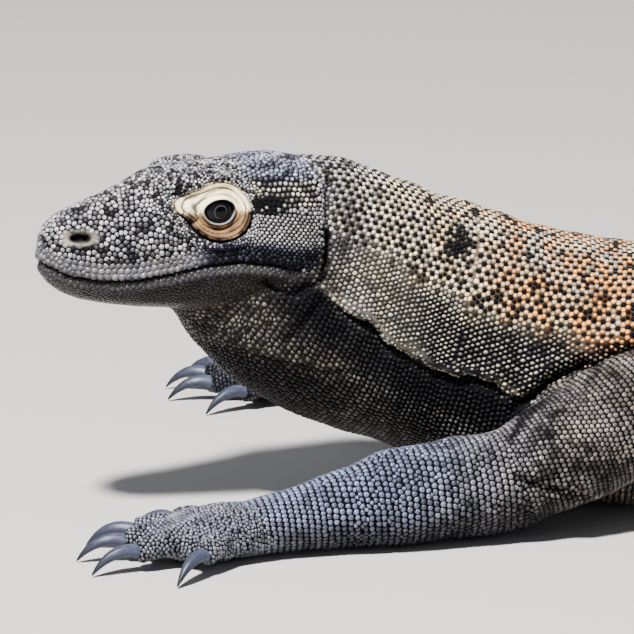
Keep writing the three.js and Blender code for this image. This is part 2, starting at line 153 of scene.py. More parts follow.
@dataclass
class Backbone:
    """The bend of the backbone in plan, between the straight animal and the frame.

    Lengths are in millimetres and headings in degrees from +X. `block` places at a time are straightened,
    from the nearest of every `coarse`-th point of the backbone.
    """

    length: float = 2130.0
    shoulder_at: float = 354.0
    shoulder_x: float = -250.0
    step: float = 2.0
    block: int = 4096
    coarse: int = 4
    headings: tuple = (
        (0, 20), (140, 20), (200, 14), (260, 4), (330, -2), (420, 0), (900, 0), (1050, -9), (1300, -15),
        (1520, 0), (1760, 22), (2130, 34),
    )
    points: Array = field(init=False)
    along: Array = field(init=False)

    def __post_init__(self) -> None:
        """Walks the backbone from the nose and sets its points."""
        middles = np.arange(self.step / 2, self.length, self.step)
        turns = self.heading(middles)
        steps = np.stack([np.cos(turns), np.sin(turns)], 1) * self.step
        points = np.vstack([[0.0, 0.0], np.cumsum(steps, 0)])
        self.along = np.arange(len(points)) * self.step
        anchor = points[round(self.shoulder_at / self.step)]
        self.points = points - anchor + np.array([self.shoulder_x, 0.0])

    def heading(self, a: Array) -> Array:
        """The direction of the backbone.

        Args:
            a: distances back from the nose.

        Returns:
            Angles from +X, in radians, on a smooth curve through the headings.
        """
        at = np.array([h[0] for h in self.headings], float)
        turn = np.radians([h[1] for h in self.headings])
        a = np.clip(np.atleast_1d(np.asarray(a, float)), 0, self.length)
        i = np.clip(np.searchsorted(at, a, side="left") - 1, 0, len(at) - 2)
        before, after = np.maximum(i - 1, 0), np.minimum(i + 2, len(at) - 1)
        span = at[i + 1] - at[i]
        t = (a - at[i]) / span
        start = (turn[i + 1] - turn[before]) / (at[i + 1] - at[before]) * span
        end = (turn[after] - turn[i]) / (at[after] - at[i]) * span
        return (
            turn[i] * (1 + 2 * t) * (1 - t) ** 2 + start * t * (1 - t) ** 2
            + turn[i + 1] * t * t * (3 - 2 * t) + end * t * t * (t - 1)
        )

    def place(self, straight: Array) -> Array:
        """Bends points of the straight animal.

        Args:
            straight: rows of (a, u, z) in millimetres.

        Returns:
            Rows of (x, y, z) in metres.
        """
        a, u, z = np.asarray(straight, float).T
        inside = np.clip(a, 0, self.length)
        turn = self.heading(inside)
        x = np.interp(inside, self.along, self.points[:, 0])
        y = np.interp(inside, self.along, self.points[:, 1])
        beyond = a - inside
        x = x + beyond * np.cos(turn) - u * np.sin(turn)
        y = y + beyond * np.sin(turn) + u * np.cos(turn)
        return np.stack([x, y, z], 1) * MM

    def straighten(self, points: Array) -> Array:
        """Unbends points of the frame.

        Args:
            points: rows of (x, y, z) in metres.

        Returns:
            Rows of (a, u, z) in millimetres.
        """
        p = np.asarray(points, float) / MM
        found = np.empty(len(p))
        for start in range(0, len(p), self.block):
            some = slice(start, start + self.block)
            gaps = ((p[some, None, :2] - self.points[None, ::self.coarse, :]) ** 2).sum(2)
            found[some] = self.along[::self.coarse][np.argmin(gaps, 1)]
        for _ in range(2):
            turn = self.heading(found)
            x = np.interp(found, self.along, self.points[:, 0])
            y = np.interp(found, self.along, self.points[:, 1])
            ahead = (p[:, 0] - x) * np.cos(turn) + (p[:, 1] - y) * np.sin(turn)
            aside = -(p[:, 0] - x) * np.sin(turn) + (p[:, 1] - y) * np.cos(turn)
            found = found + ahead
        return np.stack([found, aside, p[:, 2]], 1)


# ---- meshes held as numbers

@dataclass
class Shell:
    """A mesh of triangles: points in metres and faces as point numbers."""

    points: Array
    faces: Array

    @classmethod
    def of_mesh(cls, mesh: Mesh) -> "Shell":
        """Reads a Blender mesh, cut into triangles."""
        mesh.calc_loop_triangles()
        points = np.empty(len(mesh.vertices) * 3)
        mesh.vertices.foreach_get("co", points)
        faces = np.empty(len(mesh.loop_triangles) * 3, dtype=np.int32)
        mesh.loop_triangles.foreach_get("vertices", faces)
        return cls(points.reshape(-1, 3), faces.reshape(-1, 3))

    def mesh(self, name: str) -> Mesh:
        """Writes the shell as a smooth-shaded Blender mesh called `name`."""
        mesh = bpy.data.meshes.new(name)
        mesh.vertices.add(len(self.points))
        mesh.vertices.foreach_set("co", self.points.astype(np.float32).ravel())
        mesh.loops.add(self.faces.size)
        mesh.loops.foreach_set("vertex_index", self.faces.astype(np.int32).ravel())
        mesh.polygons.add(len(self.faces))
        mesh.polygons.foreach_set("loop_start", np.arange(0, self.faces.size, 3, dtype=np.int32))
        mesh.polygons.foreach_set("use_smooth", np.ones(len(self.faces), dtype=bool))
        mesh.update(calc_edges=True)
        mesh.validate()
        return mesh

    def normals(self) -> Array:
        """Outward unit normals of the points."""
        corners = self.points[self.faces]
        across = np.cross(corners[:, 1] - corners[:, 0], corners[:, 2] - corners[:, 0])
        total = np.zeros_like(self.points)
        for corner in range(3):
            for axis in range(3):
                total[:, axis] += np.bincount(self.faces[:, corner], across[:, axis], len(self.points))
        return unit(total)

    def neighbours(self) -> tuple[Array, Array, Array]:
        """Every point's neighbours.

        Returns:
            Neighbour numbers sorted by owner, the start of each owner's run, and the length of each run.
        """
        pairs = np.concatenate([self.faces[:, [0, 1]], self.faces[:, [1, 2]], self.faces[:, [2, 0]]])
        pairs = np.concatenate([pairs, pairs[:, ::-1]]).astype(np.int64)
        keys = np.unique(pairs[:, 0] * len(self.points) + pairs[:, 1])
        owners = keys // len(self.points)
        starts = np.searchsorted(owners, np.arange(len(self.points)))
        counts = np.bincount(owners, minlength=len(self.points))
        return keys % len(self.points), starts, counts

    def tree(self) -> BVHTree:
        """A search tree over the faces."""
        return BVHTree.FromPolygons(self.points.tolist(), self.faces.tolist())


def relax(values: Array, near: tuple[Array, Array, Array], rate: Array, rounds: int) -> Array:
    """Evens values out over a mesh.

    Args:
        values: one row for each point.
        near: the mesh's neighbours, from `Shell.neighbours`.
        rate: share of the way to the neighbours' mean that each point moves in a round.
        rounds: how many rounds.

    Returns:
        The evened values.
    """
    others, starts, counts = near
    values = values.astype(np.float32).copy()
    flat = values.ndim == 1
    rate = (rate if flat else rate[:, None]).astype(np.float32)
    counts = (counts if flat else counts[:, None]).astype(np.float32)
    for _ in range(rounds):
        mean = np.add.reduceat(values[others], starts, axis=0) / counts
        values += rate * (mean - values)
    return values.astype(float)


def in_scene(name: str, data: ID) -> Object:
    """Puts a mesh, a light or a camera in the scene and returns its object."""
    piece = bpy.data.objects.new(name, data)
    bpy.context.scene.collection.objects.link(piece)
    return piece


def store(mesh: Mesh, name: str, values: Array) -> None:
    """Keeps one value for each point of a mesh, under the name by which a finish reads it."""
    mesh.attributes.new(name, "FLOAT", "POINT").data.foreach_set("value", values)


def applied(piece: Object) -> Shell:
    """Reads a piece with its modifiers applied, and takes the piece away."""
    evaluated = piece.evaluated_get(bpy.context.evaluated_depsgraph_get())
    made = Shell.of_mesh(evaluated.to_mesh())
    evaluated.to_mesh_clear()
    bpy.data.objects.remove(piece)
    return made


def remeshed(shell: Shell, voxel: float) -> Shell:
    """One closed surface round everything in a shell.

    Args:
        shell: closed pieces that touch or cross.
        voxel: grain of the new surface, in millimetres.

    Returns:
        The new surface.
    """
    piece = in_scene("remesh", shell.mesh("remesh"))
    modifier = piece.modifiers.new("voxels", "REMESH")
    modifier.mode = "VOXEL"
    modifier.voxel_size = voxel * MM
    return applied(piece)


# ---- the skin

class Region(Enum):
    """Where on the animal a stretch of flesh lies, with the width its facets are evened over, in mm."""

    HEAD = 2.6
    NECK = 9.0
    TRUNK = 13.0
    TAIL_ROOT = 9.0001  # as wide as NECK; an equal number would make the two one region
    TAIL_END = 4.0
    LIMB = 5.0
    PAW = 1.9

    @classmethod
    def of_node(cls, node: str) -> "Region":
        """The region that a CAD node of flesh belongs to."""
        if node in ("head", "jaw") or node.startswith("eye"):
            return cls.HEAD
        if node == "neck":
            return cls.NECK
        if node in ("tail_1", "tail_2"):
            return cls.TAIL_ROOT
        if node.startswith("tail"):
            return cls.TAIL_END
        if node.startswith(("hand", "foot")):
            return cls.PAW
        if node in ("chest", "belly", "hips"):
            return cls.TRUNK
        return cls.LIMB


Shares = dict[Region, Array]  # how far each place belongs to each region, from 0 to 1


class Part(Enum):
    """A part of the animal whose scales are pieces of their own, by its regions."""

    HEAD = (Region.HEAD,)
    BODY = (Region.NECK, Region.TRUNK, Region.TAIL_ROOT, Region.TAIL_END)
    LIMBS = (Region.LIMB, Region.PAW)

    def share(self, shares: Shares) -> Array:
        """How far each place belongs to the part."""
        return sum(shares[region] for region in self.value)


@dataclass
class Skin:
    """The one skin that stands for every node of flesh.

    It is remeshed from flesh that is swollen by `swell`, and lies `depth` inside the CAD's surface, all in
    millimetres. `body_share` is the share of faces that plain skin keeps.
    """

    backbone: Backbone
    voxel: float = 2.2
    swell: float = 0.35
    rounds: int = 130
    depth: float = 0.35
    body_share: float = 0.36
    shell: Shell = field(init=False)
    regions: Shares = field(init=False)

    def nodes(self) -> list[str]:
        """The CAD nodes of flesh."""
        return [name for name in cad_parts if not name.startswith(("eye", "claw"))]

    def gather(self) -> tuple[Shell, Array]:
        """Reads the CAD flesh and the eyes that fill its sockets.

        Returns:
            All of it as one shell, and the region number of each face.
        """
        order = list(Region)
        points, faces, owners, count = [], [], [], 0
        for name, node in sorted(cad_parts.items()):
            if name.startswith("claw"):
                continue
            part = Shell.of_mesh(node.data)
            bare, merged = np.unique(np.round(part.points, 7), axis=0, return_inverse=True)
            part = Shell(bare, merged.reshape(-1)[part.faces])
            points.append(part.points + part.normals() * self.swell * MM)
            faces.append(part.faces + count)
            owners.append(np.full(len(part.faces), order.index(Region.of_node(name))))
            count += len(part.points)
        return Shell(np.concatenate(points), np.concatenate(faces)), np.concatenate(owners)

    def mark_regions(self, source: Shell, owners: Array) -> None:
        """Works out how far each point of the skin belongs to each region, softly at the borders.

        Args:
            source: the flesh, from `gather`.
            owners: the region number of each of its faces.
        """
        tree = source.tree()
        nearest = np.array([tree.find_nearest(p)[2] for p in self.shell.points.tolist()])
        labels = owners[nearest]
        near = self.shell.neighbours()
        rate = np.full(len(labels), 0.5)
        self.regions = {r: relax((labels == i).astype(float), near, rate, 12) for i, r in enumerate(Region)}

    def even_facets(self) -> None:
        """Rounds the CAD facets off over each region's own width, and keeps the volume."""
        near = self.shell.neighbours()
        width = sum(share * region.value for region, share in self.regions.items())
        rate = 0.5 * (width / max(region.value for region in Region)) ** 2
        before = self.shell.points
        after = relax(before / MM, near, rate, self.rounds) * MM
        self.shell = Shell(after, self.shell.faces)
        normals = self.shell.normals()
        lost = ((before - after) * normals).sum(1) / MM
        lost = relax(lost, near, rate, self.rounds * 2)
        self.shell = Shell(after + normals * (lost - self.depth)[:, None] * MM, self.shell.faces)

    def thin_body(self) -> None:
        """Leaves fewer faces where the skin is plain: on the trunk, the tail and the limbs."""
        piece = in_scene("thin", self.shell.mesh("thin"))
        group = piece.vertex_groups.new(name="plain")
        plain = 1 - self.regions[Region.HEAD] - self.regions[Region.NECK] - self.regions[Region.PAW]
        steps = 10
        for step in range(1, steps + 1):
            members = np.flatnonzero((plain > (step - 1) / steps) & (plain <= step / steps + 1e-6))
            group.add(members.tolist(), step / steps, "REPLACE")
        modifier = piece.modifiers.new("thin", "DECIMATE")
        modifier.ratio = self.body_share
        modifier.vertex_group = "plain"
        modifier.vertex_group_factor = steps
        self.shell = applied(piece)

    def build(self) -> None:
        """Makes the skin's shape, before folds and features are added."""
        source, owners = self.gather()
        self.shell = remeshed(source, self.voxel)
        log.info("skin: %d faces from the CAD flesh", len(self.shell.faces))
        self.mark_regions(source, owners)
        self.even_facets()
        self.thin_body()
        log.info("skin: %d faces after thinning", len(self.shell.faces))
        self.mark_regions(source, owners)


# ---- folds and features of the skin

@dataclass(frozen=True)
class Fold:
    """A crease in the skin, on both sides of the animal unless its stops have a u.

    `line` holds (a, z) or (a, u, z) stops in millimetres. `depth` and `width` are the groove's, and `lip` is
    the rise of the skin along its upper or front edge.
    """

    line: tuple
    depth: float
    width: float
    lip: float = 0.0

    def offset(self, straight: Array) -> tuple[Array, Array, Array]:
        """Distances from the crease's line, seen from the side where its stops have no u.

        Args:
            straight: points of the animal in millimetres.

        Returns:
            Distance from the line, height above the line, and share of the way along it.
        """
        stops = np.array(self.line, float)
        lengths = np.linalg.norm(np.diff(stops, axis=0), axis=1)
        starts = np.concatenate([[0.0], np.cumsum(lengths)])
        here = straight[:, [0, 2]] if stops.shape[1] == 2 else straight
        best = np.full(len(here), 1e9)
        height, share = np.zeros(len(here)), np.zeros(len(here))
        for i, length in enumerate(lengths):
            way = (stops[i + 1] - stops[i]) / length
            rel = here - stops[i]
            t = np.clip(rel @ way, 0, length)
            gap = rel - t[:, None] * way
            distance = np.linalg.norm(gap, axis=1)
            closer = distance < best
            best[closer] = distance[closer]
            upward = np.array([-way[1], way[0]]) if len(way) == 2 else np.array([0.0, 0.0, 1.0])
            height[closer] = (rel @ upward)[closer]
            share[closer] = ((starts[i] + t) / starts[-1])[closer]
        return best, height, share

    def shadow(self, straight: Array) -> Array:
        """How dark the crease is at each point, from 0 to 0.85: below its lip where it has one."""
        distance, height, _ = self.offset(straight)
        inside = smooth(self.width * 1.1, self.width * 0.3, distance)
        return 0.85 * inside * (smooth(1.6, 0, height) if self.lip > 2 else 1)

    def shape(self, straight: Array) -> Array:
        """Rise of the skin that the crease causes, in millimetres."""
        distance, height, share = self.offset(straight)
        ends = smooth(0, 0.18, share) * smooth(1, 0.82, share)
        side = smooth(8, 20, np.abs(straight[:, 1]))
        groove = -self.depth * np.exp(-((distance / self.width) ** 2))
        lip = self.lip * bell(distance, self.width * 1.9, self.width) * smooth(-0.5, 0.5, height)
        return (groove + lip) * ends * side


def ragged(straight: Array) -> Array:
    """Points shifted a little, so that a crease laid through them wavers."""
    wide, close = clouds(straight, 15, 8), clouds(straight, 5, 12)
    return straight + wide[:, None] * np.array([1.2, 0.0, 2.6]) + close[:, None] * np.array([0.5, 0.0, 0.9])


@dataclass(frozen=True)
class EyeSocket:
    """The eyeball and its opening, in millimetres on the straight animal."""

    a: float = 98.0
    u: float = 20.4
    z: float = 184.5
    radius: float = 12.0
    half_length: float = 8.9
    half_height: float = 6.9
    lid: float = 1.1
    lids_end: float = 2.15

    def ring(self, straight: Array) -> Array:
        """How many openings wide each point's ring round the eye is: 1 at the lids' edge."""
        da, dz = straight[:, 0] - self.a, straight[:, 2] - self.z
        spread = smooth(1.0, 2.2, np.hypot(da / self.half_length, dz / self.half_height))
        front = smooth(0, -16, da) * smooth(11, 1, np.abs(dz - 5))
        long = 1 + spread * 0.42 * front
        tall = 1 + spread * 0.15
        return np.hypot(da / (self.half_length * long), dz / (self.half_height * tall))

    def grooves(self, straight: Array) -> Array:
        """Depth from 0 to 1 of the rings of fine folds in the lids."""
        ring = self.ring(straight)
        period = np.where(straight[:, 2] > self.z, 0.35, 0.21)
        turn = ((ring - 1.0) / period) % 1
        line = bell(turn, 0, 0.17) + bell(turn, 1, 0.17)
        return line * smooth(1.1, 1.2, ring) * smooth(self.lids_end, self.lids_end - 0.15, ring)

    def on_side(self, straight: Array) -> Array:
        """1 on the outer side of the head, 0 near its middle."""
        return smooth(7, 12, np.abs(straight[:, 1]))


@dataclass(frozen=True)
class Nostril:
    """The nostril's opening, in millimetres on the straight animal."""

    a: float = 19.5
    z: float = 172.3
    half_length: float = 6.0
    half_height: float = 2.7

    def ring(self, straight: Array, slope: float = 0.0) -> Array:
        """How many openings wide each point's ring round the nostril is, which may climb by a slope."""
        da = straight[:, 0] - self.a
        return np.hypot(da / self.half_length, (straight[:, 2] - self.z - slope * da) / self.half_height)


NOSTRIL = Nostril()
MOUTH = (
    (-6, 158.0), (1, 157.0), (12, 151.4), (30, 147.8), (50, 147.6), (69, 150.8), (88, 154.6), (108, 156.0),
    (127, 153.0), (140, 149.0),
)
FOLDS = (
    Fold(((160, 134), (171, 124), (182, 117), (191, 111), (197, 104), (205, 98.5), (214, 96.5), (222, 90),
          (232, 86.5), (244, 84), (253, 82.5), (267, 80), (284, 72)), 7.0, 2.8, 4.2),
    Fold(((276, 62), (290, 74), (301, 82), (320.5, 94), (345, 102), (362, 104)), 6.0, 3.4, 2.2),
    Fold(((169, 200), (167, 195), (162.5, 183.5), (160, 172)), 1.7, 1.5, 0.3),
    Fold(((160, 148), (157, 144), (152, 140), (143, 137), (131, 139), (120, 142)), 1.8, 2.0, 0.5),
    Fold(((134, 106), (146, 119), (160, 134)), 1.4, 3.0, 0.6),
    Fold(((106, 101), (128, 95), (150, 89), (178, 86)), 1.0, 2.2, 0.8),
    Fold(((176, 183), (186, 160), (189, 140)), 1.1, 3.4, 0.5),
    Fold(((200, 172), (206, 150), (205, 128)), 0.9, 4.0, 0.4),
    Fold(((232, 158), (236, 132), (230, 110)), 0.9, 4.5, 0.4),
    Fold(((300, 130), (312, 118), (338, 112)), 1.6, 5.0, 0.8),
)
CREASES = (  # inside the left elbow
    Fold(((279, -121, 44), (287, -119.5, 38), (310, -117, 32), (329, -104, 25)), 5.5, 3.0, 1.6),
)
EAR = Fold(((160.5, 170), (161.5, 162), (160, 153), (155.5, 145)), 5.0, 1.9, 0.9)


@dataclass
class Sculptor:
    """Adds folds, lids, lips and openings to the skin."""

    backbone: Backbone
    socket: EyeSocket
    skin: Skin

    def refine(self, wanted: Array, rounds: int) -> None:
        """Splits faces where `wanted` is true into four and evens the new points out.

        Args:
            wanted: one flag for each point of the skin.
            rounds: rounds of evening out.
        """
        mesh = bmesh.new()
        mesh.from_mesh(self.skin.shell.mesh("refine"))
        edges = [e for e in mesh.edges if wanted[e.verts[0].index] and wanted[e.verts[1].index]]
        bmesh.ops.subdivide_edges(mesh, edges=edges, cuts=1, use_grid_fill=True)
        bmesh.ops.triangulate(mesh, faces=mesh.faces)
        made = bpy.data.meshes.new("refined")
        mesh.to_mesh(made)
        mesh.free()
        shell = Shell.of_mesh(made)
        tree = search_tree(self.skin.shell.points[wanted])
        near = shell.neighbours()
        inside = np.array([tree.find(p)[2] < 4 * MM for p in shell.points.tolist()]) * 0.5
        points = relax(shell.points / MM, near, inside, rounds) * MM
        self.skin.shell = Shell(points, shell.faces)

    def lids(self, straight: Array) -> Array:
        """Moves the skin round the eye onto the ball.

        Args:
            straight: the skin's points on the straight animal.

        Returns:
            The same points with the lids in place.
        """
        eye = self.socket
        da, dz = straight[:, 0] - eye.a, straight[:, 2] - eye.z
        r = np.hypot(da, dz)
        ball = eye.u + np.sqrt(np.maximum((eye.radius + eye.lid) ** 2 - np.minimum(r, 11.5) ** 2, 0))
        share = smooth(14.5, 8.5, r) * eye.on_side(straight)
        side = np.sign(straight[:, 1])
        moved = straight.copy()
        moved[:, 1] += share * (ball - np.abs(straight[:, 1])) * side
        return moved

    def head_relief(self, straight: Array) -> Array:
        """Rise of the head's skin at each point, in millimetres: lid folds, lips, brow and snout."""
        eye = self.socket
        a, z = straight[:, 0], straight[:, 2]
        ring = eye.ring(straight)
        side = eye.on_side(straight)
        over = z > eye.z
        rise = np.where(over, -1.1, -0.6) * eye.grooves(straight) * side
        rise += 0.6 * bell(ring, 1.04, 0.07) * side
        rise -= 2.0 * bell(ring, eye.lids_end, 0.13) * side * np.where(over, 0.3, 1.0)
        rise += 1.3 * bell(ring, eye.lids_end + 0.42, 0.2) * side * smooth(eye.z + 2, eye.z - 6, z)
        corner = Fold(((87, 181), (81.5, 178), (76, 180)), 1.3, 1.2)
        rise += corner.shape(straight)
        lip = above(MOUTH, straight)
        mouth = smooth(-4, 2, a) * smooth(146, 132, a)
        rise -= 1.7 * np.exp(-((lip / 0.75) ** 2)) * mouth
        nostril = NOSTRIL.ring(straight, 0.05)
        rise += (1.3 * bell(nostril, 1.5, 0.35) - 3.2 * smooth(1.15, 0.5, nostril)) * side
        rise += 0.8 * bell(lip, 2.6, 1.9) * mouth - 0.5 * bell(lip, -2.2, 1.6) * mouth
        rise += 0.9 * bell(lip, -5.0, 2.5) * mouth
        return rise

    def relief(self, straight: Array, regions: Shares) -> Array:
        """Rise of the skin at each point, in millimetres."""
        head = self.head_relief(straight) * smooth(172, 164, straight[:, 0]) * (regions[Region.HEAD] > 0.02)
        rise = head + EAR.shape(straight)
        body = 1 - regions[Region.LIMB] - regions[Region.PAW]
        warped = ragged(straight)
        for fold in FOLDS:
            rise += fold.shape(warped) * body
        for fold in CREASES:
            rise += fold.shape(straight)
        neck = regions[Region.NECK] * smooth(150, 180, straight[:, 0])
        slack = clouds(straight * np.array([1.0, 0.35, 0.45]), 17, 3)
        rise += 1.3 * slack * neck
        trunk = regions[Region.TRUNK]
        rise += 1.6 * clouds(straight * np.array([1.0, 0.5, 0.5]), 34, 5) * trunk
        limb = regions[Region.LIMB]
        rise += 1.1 * clouds(straight, 24, 7) * limb
        return rise

    def open_eyes(self) -> None:
        """Cuts the openings between the lids and gives the lids their edges."""
        eye = self.socket
        shell = self.skin.shell
        straight = self.backbone.straighten(shell.points)
        e = np.hypot((straight[:, 0] - eye.a) / eye.half_length, (straight[:, 2] - eye.z) / eye.half_height)
        out = np.abs(straight[:, 1]) > eye.u
        inside = (e < 1.0) & out
        kept = shell.faces[~inside[shell.faces].all(1)]
        edges = np.concatenate([kept[:, [0, 1]], kept[:, [1, 2]], kept[:, [2, 0]]])
        keys = edges[:, 0].astype(np.int64) * len(shell.points) + edges[:, 1]
        back = edges[:, 1].astype(np.int64) * len(shell.points) + edges[:, 0]
        rim_edges = edges[~np.isin(keys, back)]
        rim = np.unique(rim_edges)
        snapped = straight.copy()
        offset = (straight[rim][:, [0, 2]] - [eye.a, eye.z]) / e[rim][:, None]
        snapped[rim, 0], snapped[rim, 2] = eye.a + offset[:, 0], eye.z + offset[:, 1]
        snapped = self.lids_only(snapped, rim)
        rings = [rim]
        points, faces = [self.backbone.place(snapped)], [kept]
        count = len(snapped)
        for grow, gap in ((0.985, 0.25), (1.06, -0.7)):
            ring = snapped[rim].copy()
            ring[:, 0] = eye.a + (ring[:, 0] - eye.a) * grow
            ring[:, 2] = eye.z + (ring[:, 2] - eye.z) * grow
            reach = np.sqrt((eye.radius + gap) ** 2 - (ring[:, 0] - eye.a) ** 2 - (ring[:, 2] - eye.z) ** 2)
            ring[:, 1] = np.sign(ring[:, 1]) * (eye.u + reach)
            numbers = np.full(len(snapped), -1)
            numbers[rim] = np.arange(len(rim)) + count
            previous = np.full(len(snapped), -1)
            previous[rim] = rings[-1]
            a, b = rim_edges[:, 0], rim_edges[:, 1]
            faces.append(np.stack([previous[b], previous[a], numbers[a]], 1))
            faces.append(np.stack([previous[b], numbers[a], numbers[b]], 1))
            rings.append(np.arange(len(rim)) + count)
            points.append(self.backbone.place(ring))
            count += len(rim)
        points, faces = np.concatenate(points), np.concatenate(faces)
        used = np.unique(faces)
        renumber = np.full(len(points), -1)
        renumber[used] = np.arange(len(used))
        self.skin.shell = Shell(points[used], renumber[faces])

    def lids_only(self, straight: Array, rim: Array) -> Array:
        """Sets the rim of the opening at the lids' height over the ball."""
        eye = self.socket
        r = np.hypot(straight[rim, 0] - eye.a, straight[rim, 2] - eye.z)
        reach = np.sqrt((eye.radius + eye.lid) ** 2 - r ** 2)
        straight[rim, 1] = np.sign(straight[rim, 1]) * (eye.u + reach)
        return straight

    def build(self, source: tuple) -> None:
        """Refines the skin where detail stands, moves it, and opens the eyes.

        Args:
            source: the flesh and its owners, from `Skin.gather`.
        """
        skin, eye = self.skin, self.socket
        straight = self.backbone.straighten(skin.shell.points)
        fold_near = np.zeros(len(straight), bool)
        for fold in FOLDS[:2] + CREASES:
            fold_near |= fold.offset(straight)[0] < 9
        head = (skin.regions[Region.HEAD] > 0.3) | (fold_near & (np.abs(straight[:, 1]) > 8))
        self.refine(head, 3)
        straight = self.backbone.straighten(skin.shell.points)
        self.refine((eye.ring(straight) < 2.7) & (np.abs(straight[:, 1]) > 9), 3)
        skin.mark_regions(*source)
        straight = self.lids(self.backbone.straighten(skin.shell.points))
        points = self.backbone.place(straight)
        skin.shell = Shell(points, skin.shell.faces)
        rise = self.relief(straight, skin.regions)
        skin.shell = Shell(points + skin.shell.normals() * rise[:, None] * MM, skin.shell.faces)
        skin.shell.points[:, 2] = np.maximum(skin.shell.points[:, 2], skin.depth * MM)
        self.open_eyes()
        skin.mark_regions(*source)
        log.info("skin: %d faces with folds and lids", len(skin.shell.faces))


# ---- eyes and claws

def tube_faces(rows: int, around: int) -> Array:
    """Faces of a closed tube.

    Args:
        rows: how many rings of points it has, numbered one after the other.
        around: points of each ring.

    Returns:
        The faces. The two points that close the ends are numbered after all the rings.
    """
    k = np.arange(around)
    n = (k + 1) % around
    last, end = (rows - 1) * around, rows * around
    faces = []
    for low in range(0, last, around):
        high = low + around
        faces += [np.stack([low + k, low + n, high + n], 1), np.stack([low + k, high + n, high + k], 1)]
    faces.append(np.stack([n, k, np.full(around, end)], 1))
    faces.append(np.stack([last + k, last + n, np.full(around, end + 1)], 1))
    return np.concatenate(faces)


def lathe(profile: Array, origin: Vector, axis: Vector, around: int) -> Shell:
    """A closed round body.

    Args:
        profile: rows of (distance along the axis, radius) in metres; both ends have radius 0.
        origin: where distance 0 lies.
        axis: unit direction of the axis.
        around: points round it.

    Returns:
        The body.
    """
    across = np.array(axis.orthogonal().normalized())
    other = np.cross(np.array(axis), across)
    turn = np.arange(around) / around * 2 * math.pi
    ring = np.cos(turn)[:, None] * across + np.sin(turn)[:, None] * other
    rows = [np.array(origin) + np.array(axis) * d + ring * r for d, r in profile[1:-1]]
    ends = [np.array(origin) + np.array(axis) * profile[k][0] for k in (0, -1)]
    return Shell(np.concatenate(rows + [np.array(ends)]), tube_faces(len(rows), around))


EYE_BACK = 12.0  # the `gaze` of the eyeball's hidden half, in mm like that of the rest


@dataclass
class Eye:
    """An eyeball with its cornea, looking straight out from the side of the head.

    `gap` is how far the ball lies inside the CAD's eyeball, in millimetres.
    """

    backbone: Backbone
    socket: EyeSocket
    side: int
    cornea_radius: float = 6.6
    cornea_rise: float = 0.35
    gap: float = 0.25
    rows: int = 40
    around: int = 64

    def build(self, name: str, finish: "EyeGloss") -> Object:
        """Makes the eye.

        Args:
            name: the CAD node that it stands for.
            finish: its finish.

        Returns:
            The eye's object.
        """
        eye = self.socket
        centre = self.backbone.place(np.array([[eye.a, eye.u * self.side, eye.z]]))[0]
        tip = self.backbone.place(np.array([[eye.a, (eye.u + 1) * self.side, eye.z]]))[0]
        axis = Vector(tip - centre).normalized()
        angles = np.linspace(math.pi, 0, self.rows)
        radius = eye.radius - self.gap
        from_axis = radius * np.sin(angles)
        swell = self.cornea_rise * smooth(self.cornea_radius, 0, from_axis) * (angles < 1.5)
        profile = np.stack([(radius + swell) * np.cos(angles), (radius + swell) * np.sin(angles)], 1) * MM
        shell = lathe(profile, Vector(centre), axis, self.around)
        mesh = shell.mesh(name)
        away = (shell.points - centre) @ np.array(axis)
        aside = np.linalg.norm(shell.points - centre - away[:, None] * np.array(axis), axis=1) / MM
        store(mesh, "gaze", np.where(away > 0, aside, EYE_BACK))
        mesh.materials.append(finish.material())
        return add_piece(mesh, "eye", name)


